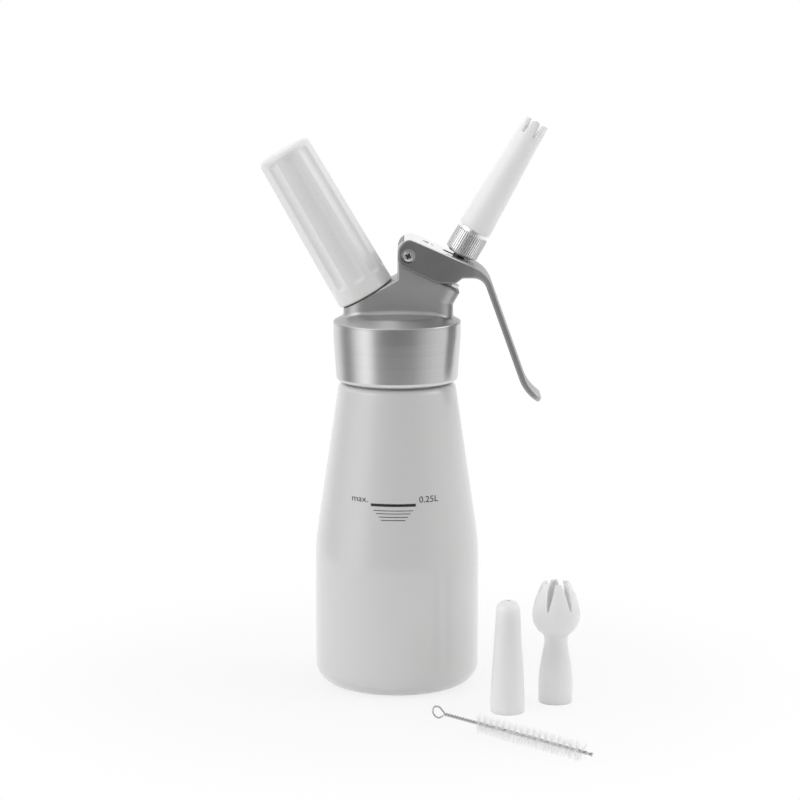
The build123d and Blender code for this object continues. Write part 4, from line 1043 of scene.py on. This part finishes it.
class DISPENSER_OT_studio(bpy.types.Operator):
    """Adds the plain floor, the soft lamp and the pale surroundings"""

    bl_idname = "dispenser.studio"
    bl_label = "Studio"

    def execute(self, context):
        sizes = context.scene.dispenser_studio
        self.floor(sizes)
        self.lamp(sizes)
        self.surroundings(context.scene, sizes)
        context.scene.view_settings.view_transform = "Standard"
        return {"FINISHED"}

    def floor(self, sizes):
        """A round table top that is plain white where no shadow of the object reaches."""
        edge, top, under = sizes.table / MM, -0.02, -4.0
        profile = np.array([(0.0, top), (edge, top), (edge, under), (0.0, under)])
        sheet = skin("floor", lathe(profile, even_turns(128)))
        finish = Finish("floor paper", sizes.floor, roughness=0.85)
        finish.set("Base Color", finish.tint(sizes.floor, 0.99 + 0.01 * finish.noise(300.0)))
        radius, height = finish.radius_and_height(finish.spot)
        path = finish.node("ShaderNodeLightPath", {}, {}, "Is Camera Ray")
        seen = path + path.beside("Is Glossy Ray") + path.beside("Is Transmission Ray")
        share = (sizes.floor_glow + (1.0 - sizes.floor_glow) * radius.step(0.06, 0.2)) * seen.clamped()
        glow = finish.node("ShaderNodeEmission", {}, {"Color": (1.0, 1.0, 1.0, 1.0), "Strength": 1.0})
        paper = Wire(finish, finish.shader.outputs[0])
        mixed = finish.node("ShaderNodeMixShader", {}, {0: share, 1: paper, 2: glow})
        finish.feed(finish.tree.nodes["Material Output"].inputs["Surface"], mixed)
        show(sheet)
        sheet.data.materials.append(finish.material)

    def lamp(self, sizes):
        """A large area lamp that faces the object from above."""
        light = bpy.data.lights.new("overhead_lamp", "AREA")
        light.shape = "RECTANGLE"
        light.size, light.size_y = LAMP_SIZE
        light.energy = sizes.overhead
        stand = bpy.data.objects.new("overhead_lamp", light)
        x, y, z = (goal - start for start, goal in zip(LAMP_PLACE, LAMP_TARGET))
        stand.location = LAMP_PLACE
        stand.rotation_euler = (atan2(hypot(x, y), -z), 0.0, atan2(-x, y))
        show(stand)

    def surroundings(self, scene, sizes):
        """A light tent: grey in front and overhead, bright at the sides, and white behind and below."""
        world = bpy.data.worlds.new("studio")
        world.use_nodes = True
        scene.world = world
        tent = Wiring(world.node_tree)
        x, y, z = tent.axes(tent.node("ShaderNodeTexCoord", {}, {}, "Generated"))
        turn = tent.math("ARCTAN2", x, 0.0 - y) / TURN + 0.5
        wall, dome = (self.ring(tent, turn, levels) for levels in (TENT_LEVELS, DOME_LEVELS))
        below, above, zenith = (0.0 - z).step(0.35, 0.6), z.step(0.02, 0.35), z.step(0.6, 0.85)
        strength = wall.toward(1.0, below).toward(dome * sizes.dome, above).toward(sizes.zenith, zenith)
        cloth = world.node_tree.nodes["Background"]
        tent.feed(cloth.inputs["Color"], (1.0, 1.0, 1.0, 1.0))
        tent.feed(cloth.inputs["Strength"], strength * sizes.tent)

    def ring(self, tent, turn, levels):
        """Brightness round the horizon. A ramp holds at most 1, so the levels are shares of their peak."""
        peak = max(level for degrees, level in levels)
        stops = [((degrees + 180.0) / 360.0, level / peak) for degrees, level in levels]
        return tent.node("ShaderNodeValToRGB", {"stops": stops}, {0: turn}) * peak


# ---------------------------------------------------------------- panel
OPERATORS = (
    DISPENSER_OT_camera,
    DISPENSER_OT_bottle,
    DISPENSER_OT_head,
    DISPENSER_OT_lever,
    DISPENSER_OT_valve,
    DISPENSER_OT_holder,
    DISPENSER_OT_adapter,
    DISPENSER_OT_nozzles,
    DISPENSER_OT_brush,
    DISPENSER_OT_studio,
)
GROUPS = {
    "dispenser_bottle": BottleSettings,
    "dispenser_head": HeadSettings,
    "dispenser_holder": HolderSettings,
    "dispenser_nozzles": NozzleSettings,
    "dispenser_brush": BrushSettings,
    "dispenser_studio": StudioSettings,
}


class DISPENSER_PT_pieces(bpy.types.Panel):
    """Lists the dispenser's settings and the buttons that add its pieces"""

    bl_idname = "DISPENSER_PT_pieces"
    bl_label = "Cream Dispenser"
    bl_space_type = "VIEW_3D"
    bl_region_type = "UI"
    bl_category = "Dispenser"

    def draw(self, context):
        for name, group in GROUPS.items():
            box = self.layout.box()
            for setting in group.__annotations__:
                box.prop(getattr(context.scene, name), setting)
        for operator in OPERATORS:
            self.layout.operator(operator.bl_idname)


def register():
    for name, group in GROUPS.items():
        bpy.utils.register_class(group)
        setattr(bpy.types.Scene, name, bpy.props.PointerProperty(type=group))
    for shown in (*OPERATORS, DISPENSER_PT_pieces):
        bpy.utils.register_class(shown)


def unregister():
    for shown in (DISPENSER_PT_pieces, *reversed(OPERATORS)):
        bpy.utils.unregister_class(shown)
    for name, group in GROUPS.items():
        delattr(bpy.types.Scene, name)
        bpy.utils.unregister_class(group)


def main():
    """Registers the add-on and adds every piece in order."""
    register()
    for operator in OPERATORS:
        getattr(bpy.ops.dispenser, operator.bl_idname.split(".")[1])()


if __name__ == "__main__":
    main()
